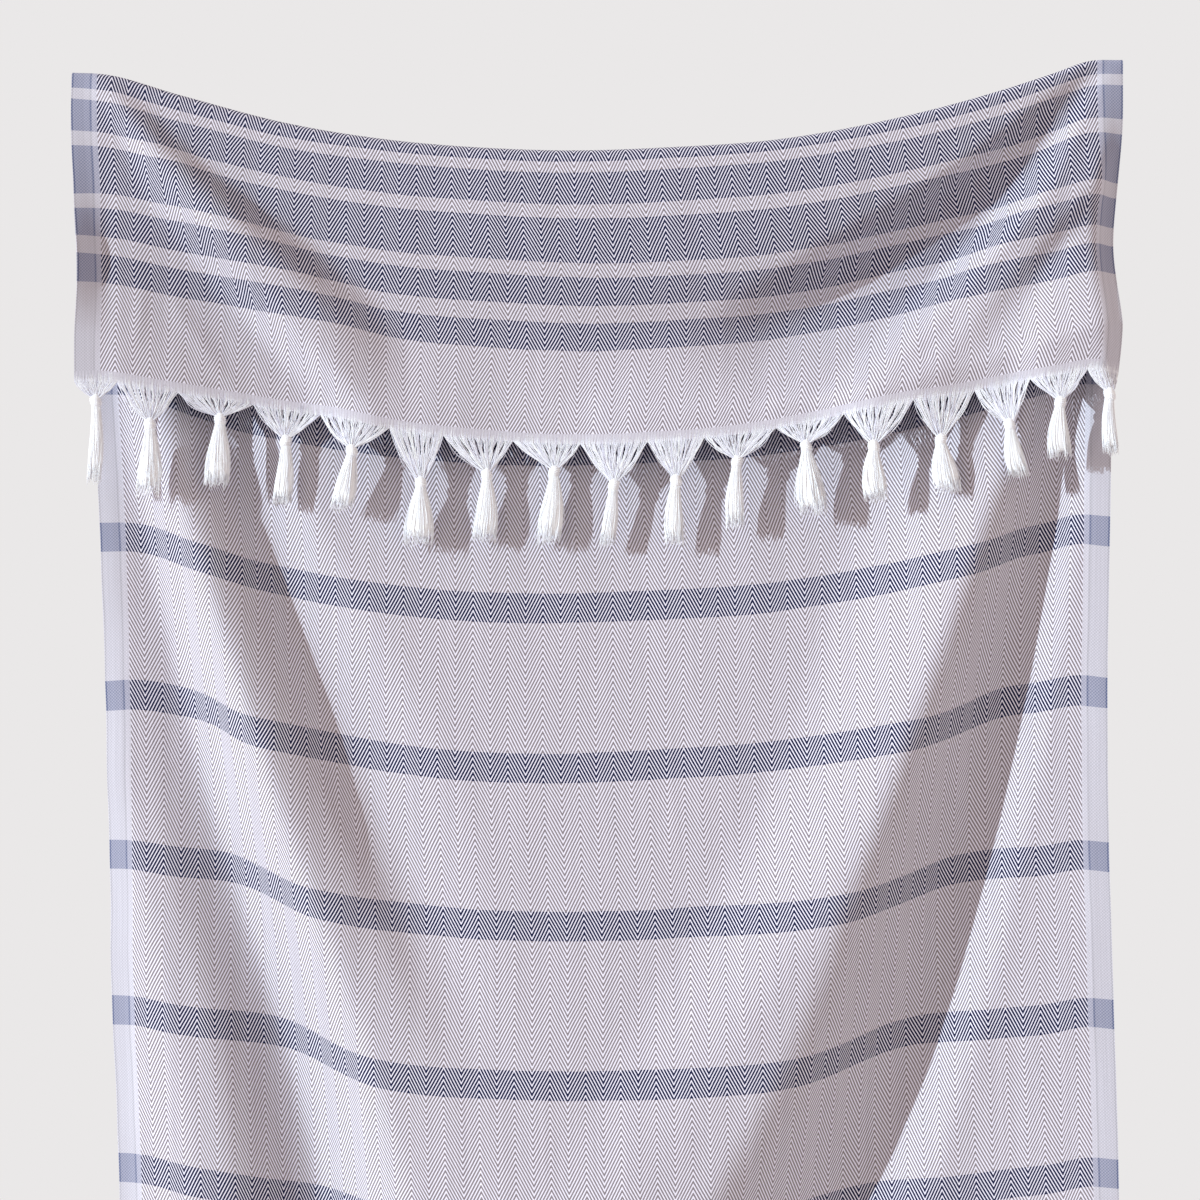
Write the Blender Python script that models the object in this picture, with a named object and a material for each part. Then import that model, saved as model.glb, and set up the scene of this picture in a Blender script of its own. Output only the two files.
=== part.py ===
"""Hammam towel held up by its two top corners, with its upper end folded to the front.

Metres, +Z up. The front of the towel faces -Y and its width runs along X. The origin is the middle of
the top fold. The cloth is one woven sheet; a row of knotted tassels hangs from the hem at each end.
"""
import math
from collections import namedtuple

import bmesh
import bpy
import numpy as np

# Driving dimensions, in metres.
MM = 0.001
CLOTH_WIDTH = 1.000
CLOTH_LENGTH = 1.766
CLOTH_THICKNESS = 0.002
FLAP_LENGTH = 0.2955            # from the front hem up to the top of the fold, along the cloth
FOLD_RADIUS_EDGE = 0.004        # the fold is pinched at the held corners and rounder between them
FOLD_RADIUS_CENTRE = 0.009
LAYER_GAP = 0.007               # least space between the middles of the front and back layers

# The facets of the sheet.
TURN_STEPS = 3                  # rows in each half of the top fold
FLAP_ROWS = 12
BACK_ROWS = 31
COLUMNS = 45
SIDE_DENSITY = 1.0              # how much closer the columns are at the sides, where the folds are
SPREAD_PASSES = 5

# The top fold sags between the corners: height of its top edge along the width, in mm.
FOLD_LINE = {
    "x": (-494, -468, -393, -294, -196, -97, -31, 68, 166, 265, 364, 430, 462, 493),
    "z": (73, 72, 52, 26, 10, 2, 0, 3, 10, 27, 52, 73, 84, 85),
}

# The four long edges: how far each stands from the middle, in mm, at heights below the origin in mm.
FLAP_EDGES = {
    "drop": (-85, -70, 40, 110, 170, 230),
    "left": (-494, -494, -488, -484, -487, -486),
    "right": (493, 491, 487, 482, 484, 479),
}
BACK_EDGES = {
    "drop": (-85, -70, 100, 234, 345, 500, 650, 800, 950, 1450),
    "left": (-494, -494, -482, -474, -468, -463, -459, -457, -451, -446),
    "right": (493, 491, 484, 479, 477, 475, 477, 482, 488, 492),
}

# How much less far than their length the threads of a layer hang, in mm, where their slant and fine
# ripples take it up, and more where the cloth is strained. Each row is a cross line of the cloth at its
# length from the top of the fold, with its values at these shares of the width, left to right.
TakeUp = namedtuple("TakeUp", "length mm")
TAKE_UP_SHARES = (0, .06, .10, .15, .20, .25, .30, .40, .50, .60, .70, .80, .85, .90, .94, 1)
FLAP_TAKE_UP = (
    TakeUp(0, (0, 0, 0, 0, 0, 0, 0, 0, 0, 0, 0, 0, 0, 0, 0, 0)),
    TakeUp(200, (1, 2, 5, 8, 11, 13, 10, 9, 8, 9, 11, 11, 8, 6, 3, 0)),
    TakeUp(296, (1, 5, 10, 16, 20, 22, 19, 16, 14, 15, 20, 20, 15, 11, 5, -4)),
)
BACK_TAKE_UP = (
    TakeUp(0, (0, 0, 0, 0, 0, 0, 0, 0, 0, 0, 0, 0, 0, 0, 0, 0)),
    TakeUp(425, (1, 3, 3, 1, 3, 3, 3, 3, 5, 5, 6, 5, 4, 3, -1, -6)),
    TakeUp(573, (0, 5, 8, 4, 5, 4, 3, 2, 4, 5, 6, 4, 3, 4, -2, -8)),
    TakeUp(722, (0, 4, 10, 9, 5, 4, 3, 3, 4, 5, 5, 7, 9, 4, -4, -10)),
    TakeUp(870, (1, 3, 10, 16, 15, 7, 1, 2, 2, 3, 6, 14, 10, 3, -5, -11)),
    TakeUp(1470, (2, 3, 7, 10, 14, 12, 7, 4, 4, 7, 13, 12, 6, -1, -7, -11)),
)

# Each row is one flank of a fold: a soft step across the width that rises towards the front, or falls
# away where its rise is negative. All its columns are in mm, given at the stations of its layer, which
# are depths below the origin for the back layer and below the top fold for the flap.
Flank = namedtuple("Flank", "name x rise half_width")

BACK_STATIONS = (0, 300, 600, 900, 1450)
BACK_LEAN = (0, 12, 8, 4, 0)
BACK_FLANKS = (
    Flank("left edge roll", (-490, -475, -461, -423, -400), (0, 0, 7, 26, 20), (20, 20, 20, 48, 60)),
    Flank("left soft fall", (-480, -450, -400, -326, -290), (0, -3, -14, -38, -28), (20, 22, 28, 40, 55)),
    Flank("left ridge rise", (-470, -421, -337, -243, -190), (0, 17, 44, 48, 32), (25, 30, 42, 56, 70)),
    Flank("left ridge fall", (-440, -363, -269, -130, -60), (0, -40, -43, -7, 0), (25, 34, 40, 60, 60)),
    Flank("left recovery", (-400, -299, -190, -60, 0), (0, 20, 12, 0, 0), (20, 26, 60, 80, 80)),
    Flank("centre rise", (85, 85, 50, 15, 0), (0, 3, 2, 4, 0), (55, 55, 60, 60, 60)),
    Flank("right ridge rise", (400, 318, 222, 40, -40), (0, 40, 34, 16, 8), (60, 76, 70, 65, 80)),
    Flank("right ridge fall", (480, 408, 322, 214, 150), (0, -38, -68, -88, -56), (30, 34, 58, 85, 95)),
    Flank("right recovery", (480, 448, 398, 314, 250), (0, 8, 10, 14, 12), (15, 15, 22, 28, 40)),
)

FLAP_STATIONS = (0, 55, 110, 170, 250)
FLAP_LEAN = (0, 3, 6, 11, 22)
FLAP_FLANKS = (
    Flank("left fold rise", (-480, -435, -388, -327, -243), (0, 11, 30, 30, 15), (15, 21, 45, 52, 47)),
    Flank("left fold fall", (-460, -386, -294, -219, -186), (0, -19, -36, -24, -9), (15, 25, 45, 47, 38)),
    Flank("left shoulder fall", (-335, -335, -335, -335, -330), (0, 0, 0, -8, -24), (60, 60, 60, 60, 60)),
    Flank("centre fall", (-100, -100, -100, -100, -100), (0, 0, 0, -4, -8), (90, 90, 90, 90, 90)),
    Flank("centre rise", (0, 0, 0, 0, 0), (0, 0, 0, 9, 22), (50, 50, 50, 50, 50)),
    Flank("valley fall", (460, 364, 256, 145, 39), (0, -23, -38, -24, -6), (30, 47, 65, 75, 60)),
    Flank("right fold rise", (480, 439, 392, 326, 245), (0, 24, 38, 35, 27), (15, 21, 38, 56, 75)),
    Flank("right fold fall", (500, 500, 479, 413, 326), (0, 0, -9, -13, -8), (20, 20, 20, 26, 33)),
    Flank("right edge rise", (500, 480, 460, 439, 397), (0, 0, 0, 9, 22), (17, 17, 17, 17, 26)),
    Flank("right edge fall", (500, 500, 490, 472, 467), (0, 0, 0, -8, -22), (19, 19, 19, 19, 24)),
)

# Below these depths under the top fold, in mm, the back layer leaves the shape of the flap.
SHARED_FOLDS = (30, 240)
FREE_OF_FLAP = (300, 380)

# One row for each tassel along the front hem, left to right, in mm: the hem it gathers, how far the
# knot stands to the right of the middle of that, how far below the hem, and the skirt below the knot.
Tassel = namedtuple("Tassel", "root_width knot_shift knot_drop skirt_length skirt_lean skirt_width")
TASSELS = (
    Tassel(39, 0, 19, 72, -2, 14),
    Tassel(56, 2, 34, 63, -2, 23),
    Tassel(69, 4, 20, 60, -4, 25),
    Tassel(63, -1, 29, 57, -4, 18),
    Tassel(67, -2, 28, 53, -10, 22),
    Tassel(50, 4, 47, 55, -2, 29),
    Tassel(64, 8, 34, 60, -3, 23),
    Tassel(62, 7, 27, 64, -6, 24),
    Tassel(62, 0, 39, 54, -6, 14),
    Tassel(52, 0, 38, 57, -1, 18),
    Tassel(66, -3, 26, 59, -2, 18),
    Tassel(64, -4, 23, 61, 6, 29),
    Tassel(65, -4, 37, 49, 3, 24),
    Tassel(58, -3, 41, 47, 7, 26),
    Tassel(52, 6, 38, 46, 8, 19),
    Tassel(53, 1, 26, 50, 0, 21),
    Tassel(33, 4, 22, 53, 2, 14),
)
TASSEL_HEM_GAP = 0.0008         # the yarn ends stand this far off the hem
TASSEL_REST = 0.012             # from the middle of a tassel to the middle of a layer that it leans on
KNOT_SIDES = 6
KNOT_RADIUS = 0.0058
KNOT_HALF_HEIGHT = 0.0050
KNOT_WAIST = 0.72               # the knot's end rings against its middle ring
FAN_LOCKS = 5
SKIRT_LOCKS = 3
LOCK_INSET = 0.0006             # parts the roots of neighbouring locks
FAN_BEND_PLACE = (0.38, 0.45, 0.5)      # the bend's place between a lock's root and tip, along X, Y and Z
FAN_BEND_SCALE = (1.1, 1.0)             # a lock's width and depth there against its root
FAN_TIP_SCALE = (1.25, 0.8)
SKIRT_BEND_PLACE = (0.62, 0.7, 0.5)
SKIRT_BEND_DEPTH = 1.2
SKIRT_TIP_DEPTH = 1.5
SKIRT_DEPTH_SHARE = 0.55                # how deep a skirt is against its width

COTTON_GREY = (0.56, 0.54, 0.60, 1.0)
COTTON_WHITE = (0.82, 0.82, 0.86, 1.0)
COTTON_ROUGHNESS = 0.9


# Curves and steps

def smooth_curve(knots, values, at):
    """A smooth curve through the given points, level with their slopes, held beyond its ends."""
    knots = np.asarray(knots, float)
    values = np.asarray(values, float)
    at = np.clip(at, knots[0], knots[-1])
    spans = np.diff(knots)
    slopes = np.diff(values) / spans
    tangents = np.concatenate((slopes[:1], np.zeros(len(knots) - 2), slopes[-1:]))
    tangents[1:-1] = (slopes[:-1] * spans[1:] + slopes[1:] * spans[:-1]) / (spans[1:] + spans[:-1])
    cell = np.clip(np.searchsorted(knots, at, side="right") - 1, 0, len(spans) - 1)
    t = (at - knots[cell]) / spans[cell]
    leaving = (t ** 3 - 2 * t ** 2 + t) * tangents[cell]
    arriving = (t ** 3 - t ** 2) * tangents[cell + 1]
    between = values[cell] + (3 * t ** 2 - 2 * t ** 3) * (values[cell + 1] - values[cell])
    return between + spans[cell] * (leaving + arriving)


def soft_step(t):
    """Rises smoothly from 0 at t = -1 to 1 at t = 1."""
    share = (np.clip(t, -1, 1) + 1) / 2
    return share * share * (3 - 2 * share)


def soft_ramp(value, start, end):
    return soft_step(2 * (value - start) / (end - start) - 1)


# The hanging sheet: height towards the front of each layer, all in mm

def fold_line_height(x):
    return smooth_curve(FOLD_LINE["x"], FOLD_LINE["z"], x)


def fold_radius(x):
    share = np.clip(np.abs(x) * MM / (CLOTH_WIDTH / 2), 0, 1)
    return (FOLD_RADIUS_EDGE + (FOLD_RADIUS_CENTRE - FOLD_RADIUS_EDGE) * (1 - share ** 2)) / MM


def turn_height(x, below):
    """How far a layer stands off the middle of the top fold, going round the fold and then down."""
    radius = fold_radius(x)
    share = 1 - np.clip(below / radius, 0, 1)
    return radius * np.sqrt(1 - share ** 2)


def flank_heights(flanks, stations, x, depth):
    total = np.zeros(np.broadcast(x, depth).shape)
    for flank in flanks:
        middle = smooth_curve(stations, flank.x, depth)
        half = smooth_curve(stations, flank.half_width, depth)
        total = total + smooth_curve(stations, flank.rise, depth) * soft_step((x - middle) / half)
    return total


def flap_height(x, z):
    below = fold_line_height(x) - z
    lean = smooth_curve(FLAP_STATIONS, FLAP_LEAN, below)
    return turn_height(x, below) + lean + flank_heights(FLAP_FLANKS, FLAP_STATIONS, x, below)


def back_height(x, z):
    """The back layer takes the flap's folds near the top, then its own, and stays behind the flap."""
    below = fold_line_height(x) - z
    own = flank_heights(BACK_FLANKS, BACK_STATIONS, x, -z)
    shared = flank_heights(FLAP_FLANKS, FLAP_STATIONS, x, below)
    own_share = soft_ramp(below, *SHARED_FOLDS)
    lean = smooth_curve(BACK_STATIONS, BACK_LEAN, -z)
    free = lean - turn_height(x, below) + own * own_share + shared * (1 - own_share)
    overlap = free - (flap_height(x, z) - LAYER_GAP / MM)
    push = (overlap + np.hypot(overlap, 3.0)) / 2
    return free - push * (1 - soft_ramp(below, *FREE_OF_FLAP)) * soft_ramp(below, 0, 30)


def layer_points(height_of, edges, cross_lines, lengths):
    """Lay one layer as a grid of threads, spread evenly along each row of the cloth.

    lengths holds, for each row, how far it lies along the cloth from the top of the fold, in mm, in
    each column. Returns the x, height and z of each point, in mm.
    """
    shares = column_shares()
    fold_x = fold_line_columns(shares)
    drop = fold_drop(fold_x, lengths) - take_up(cross_lines, shares, lengths)
    z = fold_line_height(fold_x) - drop
    left = smooth_curve(edges["drop"], edges["left"], -z[:, :1])
    right = smooth_curve(edges["drop"], edges["right"], -z[:, -1:])
    x = np.broadcast_to(fold_x, z.shape)
    for _ in range(SPREAD_PASSES):
        x = even_threads(x, height_of(x, z), z, shares, left, right)
    return x, height_of(x, z), z


def take_up(cross_lines, shares, lengths):
    """The take-up of each thread at each of its lengths, read from a table of cross lines."""
    knots = [line.length for line in cross_lines]
    values = np.array([smooth_curve(TAKE_UP_SHARES, line.mm, shares) for line in cross_lines])
    columns = [smooth_curve(knots, values[:, column], lengths[:, column]) for column in range(len(shares))]
    return np.stack(columns, axis=1)


def column_shares():
    """Places of the columns across the width, from 0 to 1, closer together at both sides."""
    fine = np.linspace(0, 1, 401)
    density = np.cumsum(1 + SIDE_DENSITY * np.abs(2 * fine - 1))
    density = (density - density[0]) / (density[-1] - density[0])
    return np.interp(np.linspace(0, 1, COLUMNS), density, fine)


def fold_line_columns(shares):
    """Where each column crosses the top fold, measured along its sagging line."""
    x = np.linspace(FOLD_LINE["x"][0], FOLD_LINE["x"][-1], 401)
    along = np.concatenate(([0], np.cumsum(np.hypot(np.diff(x), np.diff(fold_line_height(x))))))
    return np.interp(shares * along[-1], along, x)


def fold_drop(fold_x, lengths):
    """How far below the top of the fold a length along the cloth reaches, round the turn and down."""
    radius = fold_radius(fold_x)
    angle = np.clip(lengths / radius, 0, math.pi / 2)
    return radius * (1 - np.cos(angle)) + np.clip(lengths - radius * math.pi / 2, 0, None)


def even_threads(x, height, z, shares, left, right):
    """Slide the points of each row along it until they lie at their shares of its length."""
    steps = np.sqrt(np.diff(x, axis=1) ** 2 + np.diff(height, axis=1) ** 2 + np.diff(z, axis=1) ** 2)
    along = np.concatenate((np.zeros((len(x), 1)), np.cumsum(steps, axis=1)), axis=1)
    along /= along[:, -1:]
    rows = [np.interp(shares, row_along, row_x) for row_along, row_x in zip(along, x)]
    rows = np.array(rows)
    stretch = (right - left) / (rows[:, -1:] - rows[:, :1])
    return left + (rows - rows[:, :1]) * stretch


def row_lengths(reach, rows):
    """Lengths along the cloth of the rows of one layer, from the top of the fold to its hem."""
    radius = fold_radius(fold_line_columns(column_shares()))
    turn = np.linspace(0, math.pi / 2, TURN_STEPS + 1)[:, None] * radius
    hang = np.linspace(0, 1, rows + 1)[1:, None]
    return np.concatenate((turn, turn[-1:] + hang * (reach / MM - turn[-1:])))


def in_metres(points):
    """Grids of x, height and z in mm as one grid of world points: the front faces -Y."""
    x, height, z = points
    return np.stack((x, -height, z), axis=-1) * MM


# Meshes

def fold_wise_triangles(rows):
    """Two triangles for each cell of the grid, split the way the folds run: down towards the middle."""
    height, width = rows.shape[:2]
    index = np.arange(height * width).reshape(height, width)
    a, b, c, d = index[:-1, :-1], index[:-1, 1:], index[1:, 1:], index[1:, :-1]
    runs_down = rows[:-1, :-1, 2] > rows[1:, :-1, 2]
    left_half = rows[:-1, :-1, 0] < 0
    along_ac = (runs_down == left_half)[..., None, None]
    split_ac = np.stack((np.stack((a, b, c), axis=-1), np.stack((a, c, d), axis=-1)), axis=-2)
    split_bd = np.stack((np.stack((a, b, d), axis=-1), np.stack((b, c, d), axis=-1)), axis=-2)
    return np.where(along_ac, split_ac, split_bd).reshape(-1, 3).tolist()


def new_object(name, mesh, material):
    mesh.materials.append(material)
    mesh.shade_smooth()
    thing = bpy.data.objects.new(name, mesh)
    bpy.context.scene.collection.objects.link(thing)
    return thing


def cotton(name, colour):
    material = bpy.data.materials.new(name)
    material.use_nodes = True
    shader = material.node_tree.nodes["Principled BSDF"]
    shader.inputs["Base Color"].default_value = colour
    shader.inputs["Roughness"].default_value = COTTON_ROUGHNESS
    shader.inputs["Metallic"].default_value = 0.0
    return material


def build_cloth(rows, material):
    """The whole cloth as one sheet, thickened evenly to both sides."""
    mesh = bpy.data.meshes.new("cloth")
    mesh.from_pydata(rows.reshape(-1, 3).tolist(), [], fold_wise_triangles(rows))
    cloth = new_object("cloth", mesh, material)
    thicken = cloth.modifiers.new("thickness", "SOLIDIFY")
    thicken.thickness = CLOTH_THICKNESS
    thicken.offset = 0.0
    thicken.use_even_offset = False
    return cloth


def knot_rings(mesh, centre):
    """Three stacked rings of points: the knot's top, middle and bottom."""
    rings = []
    for level, scale in ((1, KNOT_WAIST), (0, 1), (-1, KNOT_WAIST)):
        ring = []
        for side in range(KNOT_SIDES):
            angle = 2 * math.pi * side / KNOT_SIDES
            offset = (math.cos(angle) * scale * KNOT_RADIUS, math.sin(angle) * scale * KNOT_RADIUS,
                      level * KNOT_HALF_HEIGHT)
            ring.append(mesh.verts.new(centre + np.array(offset)))
        rings.append(ring)
    return rings


def close_knot(mesh, rings, centre):
    """Side faces between the rings, and a fan of slices over each end. Returns both ends' slices."""
    ends = []
    for upper, lower in zip(rings, rings[1:]):
        for side in range(KNOT_SIDES):
            after = (side + 1) % KNOT_SIDES
            mesh.faces.new((upper[side], lower[side], lower[after], upper[after]))
    for ring, level in ((rings[0], 1), (rings[-1], -1)):
        tip = mesh.verts.new(centre + np.array((0, 0, level * KNOT_HALF_HEIGHT)))
        slices = []
        for side in range(KNOT_SIDES):
            pair = (ring[side], ring[(side + 1) % KNOT_SIDES])
            slices.append(mesh.faces.new((pair[0], pair[1], tip)[::level]))
        ends.append(slices)
    return ends


def grow_lock(mesh, root, stations):
    """Draw a lock of yarn out of one slice of the knot, through rings given as centre and scale."""
    bmesh.ops.inset_individual(mesh, faces=[root], thickness=LOCK_INSET)
    start = np.mean([corner.co for corner in root.verts], axis=0)
    shape = [np.array(corner.co) - start for corner in root.verts]
    face = root
    for centre, scale in stations:
        face = bmesh.ops.extrude_discrete_faces(mesh, faces=[face])["faces"][0]
        for corner, offset in zip(face.verts, shape):
            corner.co = centre + offset * np.array((*scale, 1.0))


def fan_stations(start, tip):
    """A lock that leaves the knot upwards and spreads to its place on the hem."""
    bend = start + (tip - start) * np.array(FAN_BEND_PLACE)
    return (bend, FAN_BEND_SCALE), (tip, FAN_TIP_SCALE)


def skirt_stations(start, end, spread):
    """A lock that hangs from the knot and widens to its share of the skirt."""
    middle = start + (end - start) * np.array(SKIRT_BEND_PLACE)
    return (middle, ((1 + spread) / 2, SKIRT_BEND_DEPTH)), (end, (spread, SKIRT_TIP_DEPTH))


def root_order(slices):
    """Slices sorted from left to right, so that locks don't cross."""
    def place(face):
        centre = face.calc_center_median()
        return round(centre.x, 6), centre.y
    return sorted(slices, key=place)


def leaning_on(behind, point):
    """Bring a point of a tassel forward to where it rests on the layer behind it, if there is one."""
    if behind is None:
        return point
    surface = -float(behind(point[0] / MM, point[2] / MM)) * MM
    return np.array((point[0], min(point[1], surface - TASSEL_REST), point[2]))


def build_tassel(name, hem, row, material, behind):
    """One gathered tassel: a knot, locks that fan up to the hem, and a skirt of locks below."""
    middle = hem_point(hem, 0.5)
    centre = leaning_on(behind, middle + np.array((row.knot_shift, 0, -row.knot_drop)) * MM)
    mesh = bmesh.new()
    top, bottom = close_knot(mesh, knot_rings(mesh, centre), centre)
    for order, root in enumerate(root_order(top)[:FAN_LOCKS]):
        below_hem = np.array((0, 0, CLOTH_THICKNESS / 2 + TASSEL_HEM_GAP))
        tip = hem_point(hem, (order + 0.5) / FAN_LOCKS) - below_hem
        start = np.array(root.calc_center_median())
        grow_lock(mesh, root, fan_stations(start, tip))
    low = leaning_on(behind, centre + np.array((row.skirt_lean, 0, -row.skirt_length)) * MM)
    for order, root in enumerate(root_order(bottom)[::KNOT_SIDES // SKIRT_LOCKS]):
        side = (order - (SKIRT_LOCKS - 1) / 2) / (SKIRT_LOCKS / 2)
        start = np.array(root.calc_center_median())
        depth = (start - centre)[1] * 2 * SKIRT_DEPTH_SHARE
        end = low + np.array((side * row.skirt_width * MM / 2, depth, 0))
        spread = row.skirt_width * MM / SKIRT_LOCKS / (KNOT_RADIUS * 0.5)
        grow_lock(mesh, root, skirt_stations(start, end, spread))
    data = bpy.data.meshes.new(name)
    mesh.to_mesh(data)
    mesh.free()
    return new_object(name, data, material)


def hem_point(hem, share):
    """The point of a stretch of hem at a share of it, from 0 at its left to 1 at its right."""
    place = share * (len(hem) - 1)
    return np.array([np.interp(place, np.arange(len(hem)), hem[:, axis]) for axis in range(3)])


def hem_stretches(line, rows):
    """Cut the hem line, given as points, into one stretch for each tassel, by their root widths."""
    steps = np.linalg.norm(np.diff(line, axis=0), axis=1)
    along = np.concatenate(([0], np.cumsum(steps))) / steps.sum()
    widths = np.array([row.root_width for row in rows], float)
    cuts = np.concatenate(([0], np.cumsum(widths))) / widths.sum()
    for start, end in zip(cuts, cuts[1:]):
        places = np.linspace(start, end, 5)
        yield np.stack([np.interp(places, along, line[:, axis]) for axis in range(3)], axis=-1)


def build_fringe(prefix, line, rows, material, behind=None):
    for number, (hem, row) in enumerate(zip(hem_stretches(line, rows), rows), start=1):
        build_tassel(f"{prefix}_{number:02d}", hem, row, material, behind)


def clear_scene():
    for thing in list(bpy.data.objects):
        bpy.data.objects.remove(thing, do_unlink=True)


def main():
    clear_scene()
    flap_lengths = row_lengths(FLAP_LENGTH, FLAP_ROWS)
    back_lengths = row_lengths(CLOTH_LENGTH - FLAP_LENGTH, BACK_ROWS)
    flap = in_metres(layer_points(flap_height, FLAP_EDGES, FLAP_TAKE_UP, flap_lengths))
    back = in_metres(layer_points(back_height, BACK_EDGES, BACK_TAKE_UP, back_lengths))
    build_cloth(np.concatenate((flap[::-1], back[1:])), cotton("striped cotton", COTTON_GREY))
    white = cotton("white cotton yarn", COTTON_WHITE)
    build_fringe("front_tassel", flap[-1], TASSELS, white, behind=back_height)
    build_fringe("back_tassel", back[-1], TASSELS[::-1], white)


main()
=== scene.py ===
"""Hammam towel held up by its two top corners, dressed for its render.

The cloth is one woven sheet: a herringbone ground with cross stripes, a plain-woven selvedge down each long
side and a white woven hem at each end. Its upper end is folded to the front. Its own warp ends make a row of
knotted tassels below each hem. The scene is in metres, +Z up, with the front of the towel facing -Y; the
cloth's tables are in millimetres, with heights counted towards the front.
"""

import logging
import math
from collections.abc import Callable
from dataclasses import dataclass, field
from enum import Enum

import bpy
import numpy as np
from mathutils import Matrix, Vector


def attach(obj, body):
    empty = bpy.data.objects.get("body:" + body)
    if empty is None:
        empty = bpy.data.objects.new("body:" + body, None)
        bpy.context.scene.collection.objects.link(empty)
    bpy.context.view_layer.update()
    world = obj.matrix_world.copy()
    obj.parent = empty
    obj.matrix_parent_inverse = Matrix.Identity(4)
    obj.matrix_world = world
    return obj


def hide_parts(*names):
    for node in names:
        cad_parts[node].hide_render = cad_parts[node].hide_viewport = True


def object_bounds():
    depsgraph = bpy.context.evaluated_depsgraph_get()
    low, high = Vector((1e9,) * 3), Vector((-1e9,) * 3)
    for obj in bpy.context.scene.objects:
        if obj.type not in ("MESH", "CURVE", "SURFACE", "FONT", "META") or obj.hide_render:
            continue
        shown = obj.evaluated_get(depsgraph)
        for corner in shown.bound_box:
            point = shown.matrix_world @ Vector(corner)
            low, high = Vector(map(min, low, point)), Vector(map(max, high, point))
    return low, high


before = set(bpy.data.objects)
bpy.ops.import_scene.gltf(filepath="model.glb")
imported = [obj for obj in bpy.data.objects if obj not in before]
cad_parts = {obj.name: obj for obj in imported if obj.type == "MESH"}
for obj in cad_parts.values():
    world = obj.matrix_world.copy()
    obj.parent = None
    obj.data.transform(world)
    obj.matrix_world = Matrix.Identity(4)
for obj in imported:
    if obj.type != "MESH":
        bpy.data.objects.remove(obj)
CAD_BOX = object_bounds()

Array = np.ndarray
Table = tuple[float, ...]
Colour = tuple[float, float, float, float]
Node = bpy.types.Node
Socket = bpy.types.NodeSocket
Tree = bpy.types.NodeTree
Inputs = dict[str | int, object]

MM = 0.001
BODY = "root"
UV_MAP = "OFBake"
# Straight from front to back, along which no strand runs.
INWARD = np.array((0.0, 1.0, 0.0))
log = logging.getLogger("towel")


class Slot(Enum):
    """The record's material slots."""

    CLOTH = "cloth"
    YARN = "tassel_yarn"


class Weft(Enum):
    """The weft yarns of the cloth. The warp is white all over."""

    GREY = ("857D83", 0.51, "828389", 0.66)
    NAVY = ("0D1640", 0.62, "3A4B75", 0.98)

    def __init__(self, colour: str, cover: float, edge_colour: str, edge_cover: float) -> None:
        """Keep the yarn's colour and cover, in the twill and in the plain-woven edges.

        Args:
            colour: its colour in the twill as sRGB hex.
            cover: the share of the twill's face that it covers.
            edge_colour: its colour in the selvedges, where its fine check blurs to one tone.
            edge_cover: how much it covers there, over the values of the selvedge's stops.
        """
        self.colour = colour
        self.cover = cover
        self.edge_colour = edge_colour
        self.edge_cover = edge_cover


# Curves and steps

def smooth_curve(knots: Table, values: Table | Array, at: Array) -> Array:
    """Read a smooth curve through the given points, held level beyond its ends.

    Args:
        knots: the places of the points, rising.
        values: the curve's value at each of them.
        at: the places to read.

    Returns:
        The curve's values there.
    """
    knots = np.asarray(knots, float)
    values = np.asarray(values, float)
    at = np.clip(at, knots[0], knots[-1])
    spans = np.diff(knots)
    slopes = np.diff(values) / spans
    tangents = np.concatenate((slopes[:1], np.zeros(len(knots) - 2), slopes[-1:]))
    tangents[1:-1] = (slopes[:-1] * spans[1:] + slopes[1:] * spans[:-1]) / (spans[1:] + spans[:-1])
    cell = np.clip(np.searchsorted(knots, at, side="right") - 1, 0, len(spans) - 1)
    t = (at - knots[cell]) / spans[cell]
    leaving = (t ** 3 - 2 * t ** 2 + t) * tangents[cell]
    arriving = (t ** 3 - t ** 2) * tangents[cell + 1]
    between = values[cell] + (3 * t ** 2 - 2 * t ** 3) * (values[cell + 1] - values[cell])
    return between + spans[cell] * (leaving + arriving)


def soft_step(t: Array) -> Array:
    """Rise smoothly from 0 at t = -1 to 1 at t = 1."""
    share = (np.clip(t, -1, 1) + 1) / 2
    return share * share * (3 - 2 * share)


def soft_ramp(value: Array, start: float, end: float) -> Array:
    """Rise smoothly from 0 at start to 1 at end."""
    return soft_step(2 * (value - start) / (end - start) - 1)


def unit(vectors: Array) -> Array:
    """Scale vectors, held in the last axis, to length one."""
    least = 1e-12
    return vectors / np.maximum(np.linalg.norm(vectors, axis=-1, keepdims=True), least)


def running_length(steps: Array) -> Array:
    """The length from the first point to each point, from the steps between them in the last axis."""
    return np.concatenate((np.zeros((*steps.shape[:-1], 1)), np.cumsum(steps, axis=-1)), axis=-1)


def linear(code: str) -> Colour:
    """Turn an sRGB hex colour into the linear colour that shaders take.

    Args:
        code: six hex digits.

    Returns:
        Red, green, blue and alpha, from 0 to 1.
    """
    shades = [int(code[i:i + 2], 16) / 255 for i in (0, 2, 4)]
    red, green, blue = (s / 12.92 if s <= 0.04045 else ((s + 0.055) / 1.055) ** 2.4 for s in shades)
    return red, green, blue, 1.0


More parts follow.
